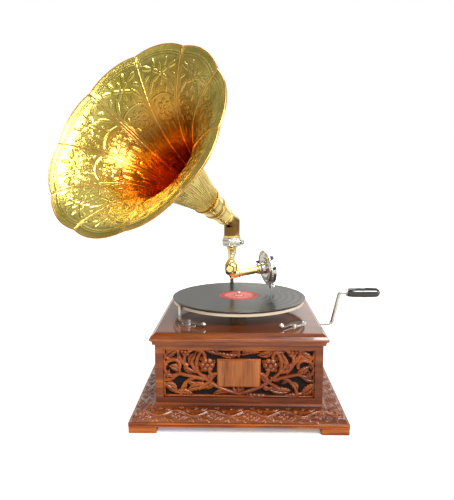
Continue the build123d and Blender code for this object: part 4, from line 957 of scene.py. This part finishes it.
def rail_relief(x, v, length):
    """Shallow carving of the plinth's slope: x along the side, v up the slope, in mm."""
    pitch = 58.0
    phase = 2 * math.pi * x / pitch
    wave = length * 0.5 + 5.5 * np.sin(phase)
    shape = 0.9 * line_ridge((v - wave) * 0.9, 1.7)
    cell = (x + pitch / 4) % pitch - pitch / 2
    side = np.where(((x + pitch / 4) // pitch) % 2 == 0, 1.0, -1.0)
    shape = np.maximum(shape, blossom(cell, v, 0, length * 0.47, 6, 7.5, 5, 5))
    for across, share, long, wide, turn in RAIL_LEAVES:
        shape = np.maximum(shape, leaf(cell, v, across, length * share, long, wide, turn))
    tool = 0.12 * np.cos(2 * math.pi * (x + 1.7 * side) / 3.1) * np.cos(2 * math.pi * v / 2.7)
    ends = np.clip(v / 1.5, 0, 1) * np.clip((length - v) / 1.5, 0, 1)
    return ends * (2.3 * shape + tool - 1.3)


def make_rail(side, turn):
    """One mitred plinth rail: plain band, carved slope, ledge."""
    (ax, az), (bx, bz), (cx, cz) = RAIL_SLOPE
    t = np.linspace(0, 1, 40)
    # the hollow slope, as the parabola through its three points
    fit = np.array([[0, 0, 1], [RAIL_BEND**2, RAIL_BEND, 1], [1, 1, 1]])
    qs, zs = np.linalg.solve(fit, [ax, bx, cx]), np.linalg.solve(fit, [az, bz, cz])
    q, z = np.polyval(qs, t), np.polyval(zs, t)
    steps = np.hypot(np.diff(q), np.diff(z))
    length, v = float(np.sum(steps)), np.concatenate([[0], np.cumsum(steps)])
    nq, nz = np.gradient(z, v), -np.gradient(q, v)
    columns = 420
    share = np.linspace(-1, 1, columns)

    def level(corners):
        return [(np.full(columns, a), np.full(columns, b)) for a, b in corners]

    rows = level(RAIL_FOOT)
    for i in range(len(t)):
        lift = rail_relief(share * q[i], np.full(columns, v[i]), length)
        rows.append((q[i] + nq[i] * lift, z[i] + nz[i] * lift))
    rows += level(RAIL_LEDGE)
    c, s = cos_sin(turn)
    along, out = np.array([c, s, 0]), np.array([s, -c, 0])
    points = []
    for away, high in rows:
        spots = along * (share * away)[:, None] + out * away[:, None] + np.array([0, 0, 1]) * high[:, None]
        points.append(spots * MM)
    count = len(rows)
    faces = grid_faces(count, columns)
    last = (count - 1) * columns
    faces += [(c, c + 1, last + c + 1, last + c) for c in range(columns - 1)]
    faces.append(tuple(r * columns for r in range(count)))
    faces.append(tuple(r * columns + columns - 1 for r in reversed(range(count))))
    finish = carved if turn % 180 == 0 else carved_side
    piece = mesh_object(f"plinth_{side}_carved", np.vstack(points), faces, finish)
    mark_sharp(piece, 50)
    finish_piece(piece, "case", "carved_wood", f"plinth_{side}")


def make_case():
    for side, turn, width in (("front", 0, 249), ("right", 90, 229), ("left", 270, 229)):
        make_fretwork(side, turn, width)
    for side, turn in (("front", 0), ("right", 90), ("back", 180), ("left", 270)):
        make_rail(side, turn)


# ---- small fittings
def screw_head(name, spot, direction, radius, body, material, turn):
    """A slotted round-head nickel screw standing on a surface; turn sets its slot, in radians."""
    dome_edge, dome_top = (radius * 0.28, radius * 0.86), (radius * 0.42, radius * 0.45)
    profile = [(-0.6, 0.2), (-0.6, radius), (0.0, radius), dome_edge, dome_top, (radius * 0.46, 0.2)]
    head = lathe(name, spot, direction, profile, material, 32)
    side, rise = basis(direction)
    lead = side * math.cos(turn) + rise * math.sin(turn)
    cut = bpy.data.meshes.new(name + "_cut")
    bm = bmesh.new()
    bmesh.ops.create_cube(bm, size=1)
    bm.to_mesh(cut)
    bm.free()
    cutter = bpy.data.objects.new(name + "_cut", cut)
    into_scene(cutter)
    third = direction.cross(lead)
    from_axes = [[lead[i], third[i], direction[i]] for i in range(3)]
    top = spot + direction * radius * 0.46 * MM
    for vertex in cut.vertices:
        x, y, z = vertex.co
        local = Vector((x * radius * 2.6, y * radius * 0.22, z * radius * 0.5)) * MM
        vertex.co = top + Vector([sum(row[j] * local[j] for j in range(3)) for row in from_axes])
    boolean = head.modifiers.new("slot", "BOOLEAN")
    boolean.operation, boolean.solver, boolean.object = "DIFFERENCE", "EXACT", cutter
    apply_modifiers(head)
    bpy.data.objects.remove(cutter)
    finish_piece(head, body, "nickel")


def knurl(count, depth, beyond=-math.inf):
    """Ridges round a turned piece, on the stretch beyond a distance along it, in mm."""
    return lambda angle, along: depth * math.cos(count * angle) if along > beyond else 0


TUBE_LONG, LID_TOP = 77.5, 155.5
CUFF = ((56.2, 8.1), (56.2, 10.6), (57.0, 11.3), (61.5, 11.3), (62.2, 10.9), (65.8, 10.9))
SLEEVE = (*CUFF, (66.5, 11.4), (70.2, 11.4), (70.2, 8.1), (56.2, 8.1))
FLANGE = ((71.6, 31.6), (71.6, 33.3), (72.2, 33.9), (74.6, 33.9), (75.2, 33.3), (75.2, 31.6), (71.6, 31.6))
BACK_STEPS = ((1.5, 12), (-0.4, 12), (-1.5, 14), (-1.5, 20), (-0.7, 21), (-0.7, 25.5), (-1.6, 26.5))
BACK_RINGS = (*BACK_STEPS, (-1.6, 28.5), (1.5, 29.8), (1.5, 12))
STUD = ((-2.5, 0.2), (-2.5, 3.0), (1.0, 3.4), (3.4, 3.4), (4.0, 2.6), (4.0, 0.2))
THUMB = ((-1.5, 0.2), (-1.5, 1.6), (2.5, 1.6), (2.5, 3.4), (3.0, 3.8), (5.8, 3.8), (6.3, 3.4), (6.3, 0.2))
CLAMP_SHANK = ((18.5, 0.2), (18.5, 3.4), (21.5, 3.4), (21.5, 5.2))
CLAMP = (*CLAMP_SHANK, (22.2, 5.8), (26.0, 5.8), (26.7, 5.2), (26.7, 0.2))
FERRULE = ((-1.6, 4.2), (-1.6, 6.6), (-0.8, 7.3), (2.2, 7.6), (2.9, 7.0), (2.9, 4.2), (-1.6, 4.2))
SOCKET = ((264.5, 19.6), (265.5, 20.5), (275.5, 20.5), (276.5, 19.6), (264.5, 19.6))
PLATE_SCREWS = (  # name, x, y, turn of the first slot
    ("dial_screw", ((88.5, -90.3), (111.5, -74.5)), 0.6),
    ("brake_screw", ((-97, -88), (-75, -96)), 1.1),
)


def make_soundbox():
    """Stepped back, rim screws and studs, thumbscrew, beads, sleeve and flange of the reproducer."""
    centre = middle("soundbox_housing")
    back = centre - TUBE_DIR * 6.5 * MM
    turned("soundbox_back_rings", back, TUBE_DIR, BACK_RINGS, plate_nickel, 96, "reproducer")
    side, rise = basis(TUBE_DIR)
    for number, angle in enumerate((62, 182, 302)):
        c, s = cos_sin(angle)
        spot = back - TUBE_DIR * 0.6 * MM + (side * c + rise * s) * 23.2 * MM
        screw_head(f"soundbox_screw_{number + 1}", spot, -TUBE_DIR, 2.3, "reproducer", dark_nickel, number)
    for number, angle in enumerate((38, 5)):
        c, s = cos_sin(angle)
        spoke = side * c + rise * s
        spot = centre + spoke * 31.5 * MM
        turned(f"soundbox_rim_stud_{number + 1}", spot, spoke, STUD, black_screw, 28, "reproducer")
    top = (rise - side * 0.25).normalized()
    collar = centre - TUBE_DIR * 17.5 * MM + top * 9.5 * MM
    turned("collar_thumbscrew", collar, top, THUMB, black_screw, 90, "reproducer", knurl(15, 0.22, 2.6))
    for number, (along, radius) in enumerate(((17.5, 8.8), (54.0, 8.4))):
        tube_at = centre - TUBE_DIR * (TUBE_LONG - along) * MM
        ring = bead_profile(0, radius, 0.8, 15)
        name = f"reproducer_bead_{number + 1}"
        turned(name, tube_at, TUBE_DIR, ring, tube_brass, 56, "reproducer", slot="polished_brass")
    tube_at = centre - TUBE_DIR * TUBE_LONG * MM
    turned("reproducer_sleeve", tube_at, TUBE_DIR, SLEEVE, plate_nickel, 72, "reproducer")
    turned("soundbox_flange", tube_at, TUBE_DIR, FLANGE, plate_nickel, 288, "reproducer", knurl(48, 0.35))
    face = Vector((0, -1, 0))
    ring_at = middle("gooseneck_screw") - face * 0.6 * MM
    ring = bead_profile(0, 7.3, 0.9, 15)
    turned("gooseneck_screw_ring", ring_at, face, ring, black_screw, 48, "reproducer")


def make_fittings():
    """Knurls, plate screws and rings too small for the CAD."""
    swivel = Vector((SWIVEL_AT.x, SWIVEL_AT.y, 0))
    turned("socket_knurl", swivel, UP, SOCKET, plate_nickel, 240, "case", knurl(48, 0.3))
    make_soundbox()
    out = Vector((0.94, -0.34, 0)).normalized()
    clamp_at = swivel + UP * 0.2705
    turned("socket_clamp_screw", clamp_at, out, CLAMP, plate_nickel, 96, "case", knurl(16, 0.25, 21.6))
    for name, places, first_turn in PLATE_SCREWS:
        for number, (x, y) in enumerate(places):
            spot = Vector((x, y, LID_TOP)) * MM
            screw_head(f"{name}_{number + 1}", spot, UP, 1.7, "case", plate_nickel, first_turn + number)
    east = Vector((1, 0, 0))
    for number, angle in enumerate((90, 210, 330)):
        c, s = cos_sin(angle)
        spot = Vector((139.5, 45 + 9.5 * c, 119 + 9.5 * s)) * MM
        screw_head(f"escutcheon_screw_{number + 1}", spot, east, 1.5, "case", plate_nickel, number)
    end = middle("crank_handle")
    end.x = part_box("crank_handle")[0][0]
    turned("handle_ferrule", end, east, FERRULE, plate_nickel, 56, "grip")


make_horn()
make_case()
make_fittings()
